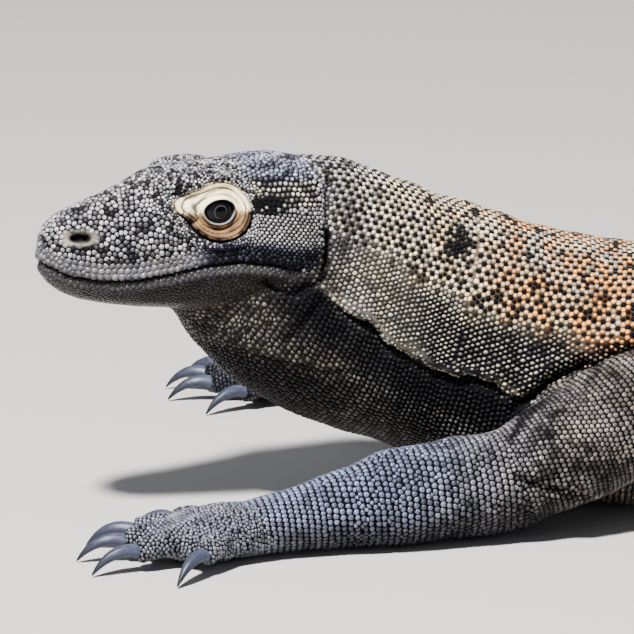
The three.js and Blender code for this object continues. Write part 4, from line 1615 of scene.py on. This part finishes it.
@dataclass
class Markings:
    """Where the hide is pale, warm, blue, brown or lid-coloured: the same rules for skin and scales. The blue
    is partly the hide's own blue-grey and partly a painted reflection of the sky.

    `contrast` is the power that parts pale from dark, and `bands` the distance between the tail's bands in
    millimetres.
    """

    backbone: Backbone
    socket: EyeSocket
    contrast: float = 1.6
    bands: float = 78.0

    def values(self, points: Array, shares: Shares, bead: bool, dot: Array | None = None,
               seed: int = 0) -> dict[str, Array]:
        """Marking values from 0 to 1.

        Args:
            points: places on the skin, in metres.
            shares: share of each region there.
            bead: True for scales, False for the skin between them.
            dot: for scales, whether each is one of the regular dark dots.
            seed: seed of the scales' own differences.

        Returns:
            Values named pale, warm, blue, earth and lid.
        """
        rng = np.random.default_rng(seed)
        n = len(points)
        s = self.backbone.straighten(points)
        a, z = s[:, 0], s[:, 2]
        dot = np.zeros(n, bool) if dot is None else dot
        big, mid, fine = clouds(s, 60, 1), clouds(s, 22, 2), clouds(s, 7, 4)
        rand = rng.random(n) if bead else np.full(n, 0.5)
        head = shares[Region.HEAD]
        limb, paw = shares[Region.LIMB], shares[Region.PAW]
        body = np.clip(1 - head - limb - paw, 0, 1)
        pale, warm, blue, earth = (np.zeros(n) for _ in range(4))

        # neck and trunk: a cream and orange net round dark dots above, pale beads on black below
        upper = smooth(-9, 9, above(NET_EDGE, s) + 9 * mid)
        near_head = smooth(215, 175, a)
        small = clouds(s, 11, 6)
        blotch = 0.04 + 0.5 * smooth(0.3, 0.7, small) * smooth(190, 250, a)
        black = dot | (rand < blotch) if bead else dot
        net = np.where(black, 0.0, 0.7 - 0.24 * near_head + 0.26 * fine + 0.3 * (rand - 0.5)) if bead else 0.2
        drop = smooth(150, 60, z) * 0.1
        beads = np.where(rand > 0.1, 0.42 - drop + 0.2 * fine + 0.2 * (rand - 0.5), 0.14) if bead else 0.0
        orange = smooth(-0.9, 1.0, mid * 0.5 + 0.3 * big + 0.8 * small + 1.8 * (rand - 0.5) + 0.2)
        orange = orange * (0.35 * smooth(195, 235, a) + 0.65 * smooth(250, 300, a))
        front = smooth(185, 145, a)
        if bead:
            beads = beads * (1 - 0.44 * front) + 0.12 * bell(a, 192, 24)
        else:
            beads = 0.12 * smooth(240, 200, a)
        pale += body * (upper * net + (1 - upper) * beads)
        earth += body * (1 - upper) * 0.3 * front
        low = smooth(285, 330, a) * 0.5 * smooth(-0.4, 0.5, mid)
        warm += body * (upper * orange * 0.95 + (1 - upper) * low)
        # The blue on the neck is partly the hide's own blue-grey and partly a painted reflection of the sky.
        blue += body * (upper * 0.35 * near_head + (1 - upper) * 0.25)
        cluster = smooth(1.25, 0.75, np.hypot((a - 247) / 9, (z - 158) / 9)) * (0.5 + 0.5 * (rand > 0.3))
        pale *= 1 - 0.9 * cluster * body
        rear = smooth(470, 760, a)
        pale -= body * rear * 0.35
        tail = smooth(960, 1100, a)
        bands = 0.5 + 0.5 * np.sin(a * 2 * math.pi / self.bands)
        pale = np.where(body > 0.5, pale * (1 - tail * (0.45 + 0.3 * bands)), pale)
        earth += body * (0.25 * rear + 0.3 * tail)
        fold = FOLDS[0].offset(ragged(s))
        # Painted shadow: below the gular fold the pale value falls away, where the fold's lip shades the
        # throat.
        under = smooth(0, -4, fold[1]) * smooth(44, 16, fold[0]) * body
        pale *= 1 - 0.88 * under
        fringe = bell(fold[0], 2.4, 2.6) * smooth(-0.5, 0.8, fold[1]) * body
        pale += fringe * 0.6 * (rand if bead else 0.4)
        throat = body * smooth(0, -10, above(THROAT_LINE, s)) * smooth(250, 222, a)
        pale *= 1 - 0.3 * throat
        earth += 0.7 * throat
        warm += 0.3 * throat
        belly = body * smooth(26, 12, z) * smooth(330, 420, a)
        pale = mixed(pale, belly, 0.62 + 0.25 * mid)
        warm = mixed(warm, belly, 0.25)

        # limbs: grey beads, bluer toward the paws, where the blue is partly painted sky reflection
        fore = smooth(0.0, -0.1, points[:, 0])
        down = smooth(-0.27, -0.40, points[:, 0]) * fore
        under_limb = smooth(26, 12, z) * limb
        grey = 0.258 + 0.12 * fine + 0.12 * mid + 0.1 * (rand - 0.5) + 0.23 * down ** 2 if bead else 0.0
        pale += limb * grey * (1 - 0.45 * under_limb)
        warm += limb * 0.15 * (1 - down)
        blue += limb * (0.35 + 0.6 * down)
        earth += limb * 0.5 * under_limb
        pale += paw * ((0.3 + 0.1 * fine + 0.14 * rand) if bead else 0.02)
        blue += paw * 0.75
        pale *= 1 - 0.45 * (limb + paw) * (1 - fore)
        # Painted shade: the far paw, on the animal's right, is darker than the near one.
        pale *= 1 - 0.62 * paw * (s[:, 1] > 0)

        # head
        on_head = self.head(s, bead, rand, fine, mid)
        for total, value in zip((pale, warm, blue, earth), on_head):
            total += head * value
        lid = head * on_head[4]
        dark = self.openings(s)
        pale = pale * (1 - dark)
        jitter = 1 + (rand - 0.5) * 0.3
        earth, lid = earth * (1 - lid), lid * (1 - dark)
        found = (pale * jitter, warm, blue, earth, lid)
        made = {name: np.clip(value, 0, 1) for name, value in zip(MARKS, found)}
        made["pale"] = made["pale"] ** self.contrast
        return made

    def fill(self, s: Array, shares: Shares, plate: Array) -> Array:
        """How much of its place each scale fills, along its length and across it."""
        upper = smooth(-9, 9, above(NET_EDGE, s))
        head = shares[Region.HEAD]
        limb = Part.LIMBS.share(shares)
        body = np.clip(1 - head - limb, 0, 1)
        along = head * (0.9 + 0.08 * plate) + limb * 0.9 + body * (0.93 + 0.07 * upper)
        across = head * (0.88 + 0.1 * plate) + limb + body * (0.52 + 0.48 * upper)
        across = across + body * (1 - upper) * 0.34 * smooth(225, 175, s[:, 0])
        return np.stack([along, across], 1)

    def tilt(self, s: Array, shares: Shares) -> Array:
        """How far each scale's free end stands up, as a share of its height."""
        return 0.42 * (shares[Region.LIMB] + 0.6 * shares[Region.PAW]) + 0.4 * smooth(900, 1050, s[:, 0]) * (
            shares[Region.TAIL_ROOT] + shares[Region.TAIL_END])

    def openings(self, s: Array) -> Array:
        """1 inside nostrils, ears, folds and between the lips, where no light comes back."""
        side = np.abs(s[:, 1]) > 8
        nostril = smooth(1.12, 0.92, NOSTRIL.ring(s)) * side * 0.93
        ear = smooth(2.6, 1.4, EAR.offset(s)[0]) * side
        lips = smooth(1.0, 0.4, np.abs(above(MOUTH, s))) * (s[:, 0] < 143)
        folds = sum(f.shadow(ragged(s)) for f in FOLDS[:4] + CREASES) * side
        return np.clip(nostril + ear + lips + folds, 0, 1)

    def head(self, s: Array, bead: bool, rand: Array, fine: Array, mid: Array) -> tuple[Array, ...]:
        """The head's pale, warm, blue, earth and lid values.

        Args:
            s: places on the straight animal.
            bead: True for scales.
            rand: each scale's own difference.
            fine: fine noise.
            mid: broader noise.

        Returns:
            The five values.
        """
        a, u, z = s[:, 0], np.abs(s[:, 1]), s[:, 2]
        lip = above(MOUTH, s)
        ring = self.socket.ring(s)
        side = smooth(8, 12, u)
        pale = 0.4 + 0.15 * fine + 0.1 * mid + 0.72 * (rand - 0.5)
        pale = np.clip(pale, 0.07, 1) if bead else np.full(len(a), 0.02)
        warm = np.full(len(a), 0.0)
        # The head is blue all over: partly its own blue-grey, partly a painted reflection of the sky.
        blue = np.full(len(a), 0.55)
        earth = np.zeros(len(a))
        crown = smooth(108, 122, a) * smooth(190, 197, z)
        if bead:
            pale = mixed(pale, crown, np.clip(0.26 + 0.3 * fine + 0.36 * rand, 0, 1))
        blue = mixed(blue, crown, 0.8)
        brow = bell(a, 98, 18) * smooth(192, 197, z) * smooth(30, 26, u)
        pale = pale - brow * (0.06 if bead else 0)
        labial = smooth(-1, 0, lip) * smooth(10.5, 8.5, lip) * smooth(112, 84, a)
        pale = mixed(pale, labial, 0.29 + 0.08 * rand + 0.06 * fine if bead else 0.3)
        rim = smooth(2.0, 1.6, NOSTRIL.ring(s)) * side
        pale = mixed(pale, rim, 0.42 + 0.12 * fine)
        blue = mixed(blue, rim, 0.35)
        blue = mixed(blue, labial, 0.6)
        cheek = smooth(108, 116, a) * smooth(186, 182, z) * smooth(158, 162, z)
        if bead:
            pale = mixed(pale, cheek, 0.53 + 0.25 * (rand - 0.5) + 0.12 * mid)
        low_cheek = smooth(78, 96, a) * smooth(-1, 1, lip) * smooth(13 + (a - 80) * 0.05, 8, lip)
        pale = pale * (1 - 0.85 * low_cheek)
        blue = mixed(blue, low_cheek, 0.9)
        streak, rows = np.abs(z - 187.5 + (a - 112) * 0.1), np.abs(z - 193.5 + (a - 120) * 0.08)
        streak = smooth(112, 116, a) * smooth(5.5, 3.5, streak) * smooth(146, 132, a) * side
        rows = smooth(114, 120, a) * smooth(7.5, 5.5, rows) * smooth(164, 156, a) * side
        if bead:
            pale = mixed(pale, rows, 0.12 + 0.6 * rand)
            pale = pale * (1 - streak * np.where(rand > 0.85, 0.4, 0.97))
        blue = blue * (1 - rows * 0.6)
        jaw = smooth(0, -1, lip)
        band = smooth(-1, -2, lip) * smooth(-7.5, -6, lip)
        jaw_tone = 0.07 + (0.02 * rand if bead else 0.0)
        pale = pale * (1 - jaw) + jaw * jaw_tone + 0.08 * band
        blue = mixed(blue, jaw, 0.25 + 0.3 * band)
        tan = jaw * smooth(134, 126, z) * smooth(40, 60, a)
        pale = pale + tan * 0.12
        earth = earth + tan * 0.5 + jaw * 0.15
        warm = warm + tan * 0.4
        lids = side * smooth(2.18, 2.06, ring)
        groove = self.socket.grooves(s)
        front = smooth(self.socket.a - 12, self.socket.a - 18, a)
        spots = smooth(0.25, 0.6, clouds(s, 3.5, 9)) * np.clip(smooth(1.75, 2.0, ring) + front, 0, 1)
        upper = smooth(self.socket.z - 3, self.socket.z + 2, z)
        # The lids' fold grooves are painted darker: painted shade in the creases.
        tone = upper * (1.35 - 1.1 * groove - 0.25 * front + 0.25 * fine)
        tone = tone + (1 - upper) * (0.46 - 0.62 * groove + 0.4 * fine)
        margin = smooth(1.13, 1.07, ring)
        tone = mixed(tone, margin, 0.5 * (1 - upper) + 0.02 * upper)
        pale = mixed(pale, lids, np.clip(tone - 0.6 * spots, 0.03, 1))
        top = upper * smooth(1.7, 1.95, ring)
        warm = warm * (1 - lids) + lids * (1 - margin) * (0.3 * top + 0.85 * (1 - upper))
        blue = blue * (1 - lids) + lids * margin * (1 - upper) * 0.6
        # Painted shade in the groove round the lids, strongest below the eye.
        pocket_shade = side * bell(ring, 2.08, 0.13) * (1 - 0.8 * upper)
        pale = pale * (1 - np.clip(1.15 * pocket_shade, 0, 0.97))
        return pale, warm, blue, earth * (1 - lids), lids * (1 - margin)


# The blue mark is partly the hide's own blue-grey and partly a painted reflection of the sky.
MARKS = ("pale", "warm", "blue", "earth", "lid")  # what `Markings.values` gives to every point
NET_EDGE = ((150, 172), (200, 150), (240, 124), (280, 112), (330, 108), (420, 100), (960, 50))
THROAT_LINE = ((60, 115), (106, 106), (128, 100), (149, 92), (178, 86), (200, 76), (250, 52))


# ---- finishes

def linear(code: str) -> tuple[float, float, float, float]:
    """The linear colour of an sRGB hex code."""
    parts = [int(code[i:i + 2], 16) / 255 for i in (1, 3, 5)]
    return (*(c / 12.92 if c <= 0.04045 else ((c + 0.055) / 1.055) ** 2.4 for c in parts), 1.0)


def noise_scale(grain: float) -> float:
    """A noise texture's scale for a grain in millimetres."""
    return 1 / (grain * MM * 2)


def connect(tree: NodeTree, node: Node, links: dict) -> Node:
    """Sets a node's inputs, by name or number, to values or to what output sockets give; returns the node."""
    for name, value in links.items():
        if isinstance(value, NodeSocket):
            tree.links.new(value, node.inputs[name])
        else:
            node.inputs[name].default_value = value
    return node


def add_node(tree: NodeTree, kind: str, links: dict, **settings) -> Node:
    """Adds a node.

    Args:
        tree: the material's node tree.
        kind: the node's type.
        links: what goes into each input, as in `connect`.
        settings: the node's own settings.

    Returns:
        The node.
    """
    node = tree.nodes.new(kind)
    for name, value in settings.items():
        setattr(node, name, value)
    return connect(tree, node, links)


def blank(name: str) -> tuple[Material, NodeTree, Node]:
    """A new material with its node tree and its shader."""
    material = bpy.data.materials.new(name)
    material.use_nodes = True
    return material, material.node_tree, material.node_tree.nodes["Principled BSDF"]


@dataclass(frozen=True)
class ScaledHide:
    """Lizard hide: dry keratin beads, rubbed to a low sheen, over darker skin.

    A fine grain breaks the sheen, and wide patches of grey keep the pale beads from being one cream. `grain`
    and `patches` are distances from one to the next, and `relief` is the grain's height, in millimetres.
    """

    name: str
    dark: str = "#0b0b0e"
    cream: str = "#fde9b4"
    grey: str = "#d6d6de"
    orange: str = "#ee9636"
    # Blue-grey: partly the hide's own, partly a painted reflection of the sky on the scales.
    blue: str = "#8d9bc6"
    earth: str = "#5a4130"
    lid: str = "#fdf0c4"
    lower_lid: str = "#8f5722"
    roughness: float = 0.3
    grain: float = 0.8
    patches: float = 25 / 3
    relief: float = 0.12
    specular: float = 0.7
    shade: str = "#0e0e12"
    sheen: str = "#f4f6ff"

    @cache
    def material(self) -> Material:
        """Builds the material from the marking values that skin and scales carry."""
        material, tree, shader = blank(self.name)
        mark = {name: add_node(tree, "ShaderNodeAttribute", {}, attribute_name=name).outputs["Fac"]
                for name in MARKS}
        place = add_node(tree, "ShaderNodeTexCoord", {}).outputs["Object"]
        fine, broad = (
            add_node(tree, "ShaderNodeTexNoise",
                     {"Vector": place, "Scale": noise_scale(size), "Detail": 2.0}).outputs["Fac"]
            for size in (self.grain, self.patches))
        greying, spread, glint = (
            add_node(tree, "ShaderNodeMapRange",
                     {"Value": value, "From Min": low, "From Max": high, "To Min": least,
                      "To Max": most}).outputs[0]
            for value, low, high, least, most in (
                (broad, 0.35, 0.65, 0.0, 0.45), (fine, 0.25, 0.75, 0.82, 1.12),
                (mark["pale"], 0.0, 0.22, 0.0, 1.0)))
        lids = add_node(tree, "ShaderNodeMix",
                        {0: mark["warm"], 6: linear(self.lid), 7: linear(self.lower_lid)},
                        data_type="RGBA").outputs[2]
        tone = linear(self.cream)
        for share, over in ((greying, linear(self.grey)), (mark["warm"], linear(self.orange)),
                            (mark["blue"], linear(self.blue)), (mark["earth"], linear(self.earth)),
                            (mark["lid"], lids)):
            tone = add_node(tree, "ShaderNodeMix", {0: share, 6: tone, 7: over}, data_type="RGBA").outputs[2]
        colour, tint = (
            add_node(tree, "ShaderNodeMix", {0: share, 6: under, 7: over}, data_type="RGBA").outputs[2]
            for share, under, over in ((mark["pale"], linear(self.dark), tone),
                                       (glint, linear(self.shade), linear(self.sheen))))
        connect(tree, shader, {
            "Base Color": add_node(tree, "ShaderNodeMix", {0: 1.0, 6: colour, 7: spread}, data_type="RGBA",
                                   blend_type="MULTIPLY").outputs[2],
            "Roughness": self.roughness, "Specular IOR Level": self.specular, "Specular Tint": tint,
            "Normal": add_node(tree, "ShaderNodeBump", {"Height": fine, "Strength": 0.5,
                                                        "Distance": self.relief * MM}).outputs[0]})
        return material


@dataclass(frozen=True)
class ClawHorn:
    """Claw horn: hard grey-blue keratin, worn to a dull polish, darker to the tip.

    Its grain lightens and darkens it in streaks. `grain` and `relief` are the grain's width and height in mm.
    """

    root: str = "#3c4052"
    tip: str = "#15171d"
    roughness: float = 0.42
    specular: float = 0.3
    grain: float = 1.25
    relief: float = 0.3

    @cache
    def material(self) -> Material:
        """Builds the material from each point's share of the claw's length."""
        material, tree, shader = blank("grained keratin")
        place = add_node(tree, "ShaderNodeTexCoord", {}).outputs["Object"]
        share = add_node(tree, "ShaderNodeAttribute", {}, attribute_name="share").outputs["Fac"]
        streak = add_node(tree, "ShaderNodeTexNoise",
                          {"Vector": place, "Scale": noise_scale(self.grain), "Detail": 3.0}).outputs["Fac"]
        lighter = add_node(tree, "ShaderNodeMapRange", {"Value": streak, "From Min": 0.3, "From Max": 0.7,
                                                        "To Min": 0.7, "To Max": 1.35}).outputs[0]
        colour = add_node(tree, "ShaderNodeMix", {0: share, 6: linear(self.root), 7: linear(self.tip)},
                          data_type="RGBA").outputs[2]
        connect(tree, shader, {
            "Base Color": add_node(tree, "ShaderNodeMix", {0: 1.0, 6: colour, 7: lighter}, data_type="RGBA",
                                   blend_type="MULTIPLY").outputs[2],
            "Roughness": self.roughness, "Specular IOR Level": self.specular,
            "Normal": add_node(tree, "ShaderNodeBump", {"Height": streak, "Strength": 0.4,
                                                        "Distance": self.relief * MM}).outputs[0]})
        return material


@dataclass(frozen=True)
class EyeGloss:
    """A wet eye: near-black brown iris round a black pupil with a thin paler ring, under a film of tears.

    The film is a coat with water's IOR, which gives one sharp highlight. Radii are in millimetres.
    """

    pupil: str = "#020203"
    ring: str = "#3b3838"
    iris: str = "#0a0a0e"
    rim: str = "#0d0908"
    pupil_radius: float = 3.4
    iris_radius: float = 7.2
    water: float = 1.33

    @cache
    def material(self) -> Material:
        """Builds the material from each point's distance from the line of sight."""
        material, tree, shader = blank("eye_gloss")
        gaze = add_node(tree, "ShaderNodeAttribute", {}, attribute_name="gaze").outputs["Fac"]
        share = add_node(tree, "ShaderNodeMapRange", {"Value": gaze, "From Min": 0.0, "From Max": EYE_BACK})
        ramp = add_node(tree, "ShaderNodeValToRGB", {0: share.outputs[0]})
        inner, outer = self.pupil_radius, self.iris_radius
        steps = ((0.0, self.pupil), (inner - 0.1, self.pupil), (inner + 0.25, self.ring),
                 (inner + 0.8, self.iris), (outer, self.iris), (outer + 0.5, self.rim))
        while len(ramp.color_ramp.elements) < len(steps):
            ramp.color_ramp.elements.new(1.0)
        for element, (at, code) in zip(ramp.color_ramp.elements, steps):
            element.position = at / EYE_BACK
            element.color = linear(code)
        connect(tree, shader, {"Base Color": ramp.outputs[0], "Roughness": 0.25, "Specular IOR Level": 0.0,
                               "Coat Weight": 0.55, "Coat Roughness": 0.03, "Coat IOR": self.water})
        return material


@dataclass(frozen=True)
class MattBoard:
    """The studio's floor: painted board, rolled matt, which gives back no highlight."""

    colour: str = "#adaba7"
    roughness: float = 0.9

    def material(self) -> Material:
        """Builds the material."""
        material, tree, shader = blank("studio_floor")
        connect(tree, shader, {"Base Color": linear(self.colour), "Roughness": self.roughness})
        return material


# ---- floor, lights, camera

@dataclass(frozen=True)
class SoftLight:
    """A square soft light, with its place and aim in metres, its side in metres and its power in watts."""

    name: str
    place: tuple
    aim: tuple
    side: float
    power: float
    colour: str

    def add(self) -> None:
        """Adds the light."""
        data = bpy.data.lights.new(self.name, "AREA")
        data.size = self.side
        data.energy = self.power
        data.color = linear(self.colour)[:3]
        light = in_scene(self.name, data)
        light.location = self.place
        light.rotation_euler = (Vector(self.aim) - Vector(self.place)).to_track_quat("-Z", "Y").to_euler()


@dataclass
class Stage:
    """The floor, the camera and the lights: a key high in front, a fill, a rim and a pale room."""

    target: tuple = (-0.434, -0.060, 0.120)
    distance: float = 3.2
    elevation: float = 15.0
    pixels_per_metre: float = 1750.0
    frame_pixels: float = 634.0
    sensor: float = 36.0
    far: float = 200.0
    floor_half: float = 40.0
    room: str = "#e5edff"
    room_strength: float = 0.28
    lights: tuple = (
        SoftLight("key", (-1.1, -1.3, 2.7), (-0.3, 0, 0.1), 0.28, 430, "#fffdfc"),
        SoftLight("fill", (-1.6, -3.0, 1.4), (-0.2, 0, 0.1), 2.5, 6, "#edf6ff"),
        SoftLight("rim", (0.5, 2.5, 2.2), (0, 0, 0.1), 2.0, 30, "#f9fcff"),
    )

    def add_floor(self) -> None:
        """A plain pale floor."""
        mesh = bpy.data.meshes.new("floor")
        h = self.floor_half
        mesh.from_pydata([(-h, -h, 0), (h, -h, 0), (h, h, 0), (-h, h, 0)], [], [(0, 1, 2, 3)])
        mesh.materials.append(MattBoard().material())
        floor = in_scene("floor", mesh)

    def add_lights(self) -> None:
        """The lights and the pale room."""
        world = bpy.data.worlds.new("studio")
        world.use_nodes = True
        connect(world.node_tree, world.node_tree.nodes["Background"],
                {"Color": linear(self.room), "Strength": self.room_strength})
        bpy.context.scene.world = world
        for light in self.lights:
            light.add()

    def add_camera(self) -> None:
        """The camera, level with the animal's left side and a little above it."""
        data = bpy.data.cameras.new("camera")
        data.sensor_width = self.sensor
        data.lens = self.sensor * self.pixels_per_metre * self.distance / self.frame_pixels
        data.clip_end = self.far
        camera = in_scene("camera", data)
        rise = math.radians(self.elevation)
        back = Vector((0, -math.cos(rise), math.sin(rise)))
        camera.location = Vector(self.target) + back * self.distance
        camera.rotation_euler = (-back).to_track_quat("-Z", "Y").to_euler()
        bpy.context.scene.camera = camera

    def build(self) -> None:
        """Sets the stage."""
        self.add_floor()
        self.add_lights()
        self.add_camera()
        log.info("stage: floor, %d lights, camera", len(self.lights))


# ---- the whole animal

@dataclass
class Dragon:
    """The animal: skin, scales, eyes and claws."""

    backbone: Backbone = field(default_factory=Backbone)
    socket: EyeSocket = field(default_factory=EyeSocket)

    def heights(self, roots: Roots, shares: Shares, straight: Array) -> Array:
        """How high each scale stands above the skin, in millimetres."""
        high = roots.pitch * 0.34 * (1 - 0.55 * roots.plate)
        jaw = shares[Region.HEAD] * smooth(1, -1, above(MOUTH, straight))
        high = high * (1 - 0.75 * jaw)
        high = np.where(roots.dot & (Part.LIMBS.share(shares) < 0.5), high * 0.7, high)
        return high * (1 - 0.3 * smooth(26, 10, straight[:, 2]) * (shares[Region.HEAD] < 0.5))

    def build_skin(self) -> Skin:
        """Makes the skin with its folds and features."""
        skin = Skin(self.backbone)
        skin.build()
        Sculptor(self.backbone, self.socket, skin).build(skin.gather())
        mesh = skin.shell.mesh("skin")
        marks = Markings(self.backbone, self.socket)
        for name, values in marks.values(skin.shell.points, skin.regions, False).items():
            store(mesh, name, values)
        mesh.materials.append(ScaledHide("skin_between_scales", roughness=0.75, specular=0.12).material())
        add_piece(mesh, "body_hide", *skin.nodes())
        log.info("skin: %d triangles", len(mesh.polygons))
        return skin

    def build_scales(self, skin: Skin, claws: list[Claw]) -> None:
        """Covers the skin with scales."""
        surface = Surface(skin, self.backbone)
        planter = ScalePlanter(surface, HeadPlan(self.backbone, self.socket), RowLayer(surface), claws)
        roots, normals, shares = planter.plant()
        straight = self.backbone.straighten(roots.points)
        head, limb = Part.HEAD.share(shares) > 0.5, Part.LIMBS.share(shares) > 0.5
        roots.plate = np.where(head & (above(MOUTH, straight) < -1), 1.0, roots.plate)
        in_net = (Part.BODY.share(shares) > 0.5) & (above(NET_EDGE, straight) > 0) & ~roots.dot
        roots.plate = np.where(in_net, 0.75, roots.plate)
        marks = Markings(self.backbone, self.socket)
        tones = marks.values(roots.points, shares, True, roots.dot, 5)
        height = self.heights(roots, shares, straight)
        tilt = marks.tilt(straight, shares)
        cutter = ScaleCutter()
        weight = np.where(roots.dot & (Part.LIMBS.share(shares) < 0.5), 1.28, 0.92)
        outline = cutter.outlines(roots, normals, marks.fill(straight, shares, roots.plate), weight)
        self.unwrap(roots, straight, limb)
        for part, slot, chosen, along in (
                (Part.HEAD, "head_hide", head, straight[:, 0]),
                (Part.BODY, "body_hide", ~head & ~limb, straight[:, 0]),
                (Part.LIMBS, "limb_hide", limb, roots.points[:, 0])):
            members = np.flatnonzero(chosen)
            order = members[np.argsort(along[members])]
            pieces = np.array_split(order, math.ceil(len(order) / cutter.piece_scales))
            for number, piece in enumerate(pieces, 1):
                name = f"scales_{part.name.lower()}_{number}"
                mesh = cutter.cut(roots, normals, height, tilt, tones, piece, outline, name)
                mesh.materials.append(ScaledHide("hide").material())
                add_piece(mesh, slot)
                log.info("%s: %d scales, %d triangles", mesh.name, len(piece), len(mesh.polygons))

    def unwrap(self, roots: Roots, straight: Array, limb: Array) -> None:
        """Sets each root's place on an unwrap of the skin: the body in one block, each limb in its own."""
        margin, body_high, body_top = 0.01, 0.55, 0.6
        block, block_wide, limb_high = 0.24, 0.22, 0.38
        stops, stop_gap = 13, 0.035
        a, u, z = straight.T
        long = self.backbone.length
        middle = curve([(s[0], (s[1] + s[3]) / 2) for s in SECTIONS], np.clip(a, SECTIONS[0][0], long))
        around = np.arctan2(u, z - middle) / (2 * math.pi) + 0.5
        roots.chart[:, 0] = margin + 0.98 * np.clip(a / long, 0, 1)
        roots.chart[:, 1] = margin + body_high * around
        x, y = roots.points[:, 0], roots.points[:, 1]
        quarter = (x > HIND_FROM) * 2 + (y > 0)
        for number, line in enumerate((LEFT_ARM, RIGHT_ARM, LEFT_LEG, RIGHT_LEG)):
            mine = limb & (quarter == number)
            axis = np.array(line, float) * MM
            gaps = ((roots.points[mine][:, None, :] - axis[None]) ** 2).sum(2)
            station = np.argmin(gaps, 1)
            rel = roots.points[mine] - axis[station]
            way = unit(np.gradient(axis, axis=0))[station]
            forward = station + (rel * way).sum(1) / stop_gap
            aside = unit(np.cross(way, [0, 0, 1]))
            turn = np.arctan2((rel * aside).sum(1), rel[:, 2]) / (2 * math.pi) + 0.5
            roots.chart[mine, 0] = margin + block * number + block_wide * np.clip((forward + 1) / stops, 0, 1)
            roots.chart[mine, 1] = body_top + limb_high * turn

    def build(self) -> None:
        """Builds the animal."""
        skin = self.build_skin()
        for name, side in SIDES.items():
            Eye(self.backbone, self.socket, side).build(f"eye_{name}", EyeGloss())
        log.info("eyes: 2")
        claws = [Claw(name) for name in sorted(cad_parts) if name.startswith("claw")]
        for claw in claws:
            claw.build(ClawHorn())
        log.info("claws: %d", len(claws))
        self.build_scales(skin, claws)


def main() -> None:
    """Builds the model and the studio round it."""
    logging.basicConfig(level=logging.INFO, format="%(message)s")
    Dragon().build()
    Stage().build()


if __name__ == "__main__":
    main()
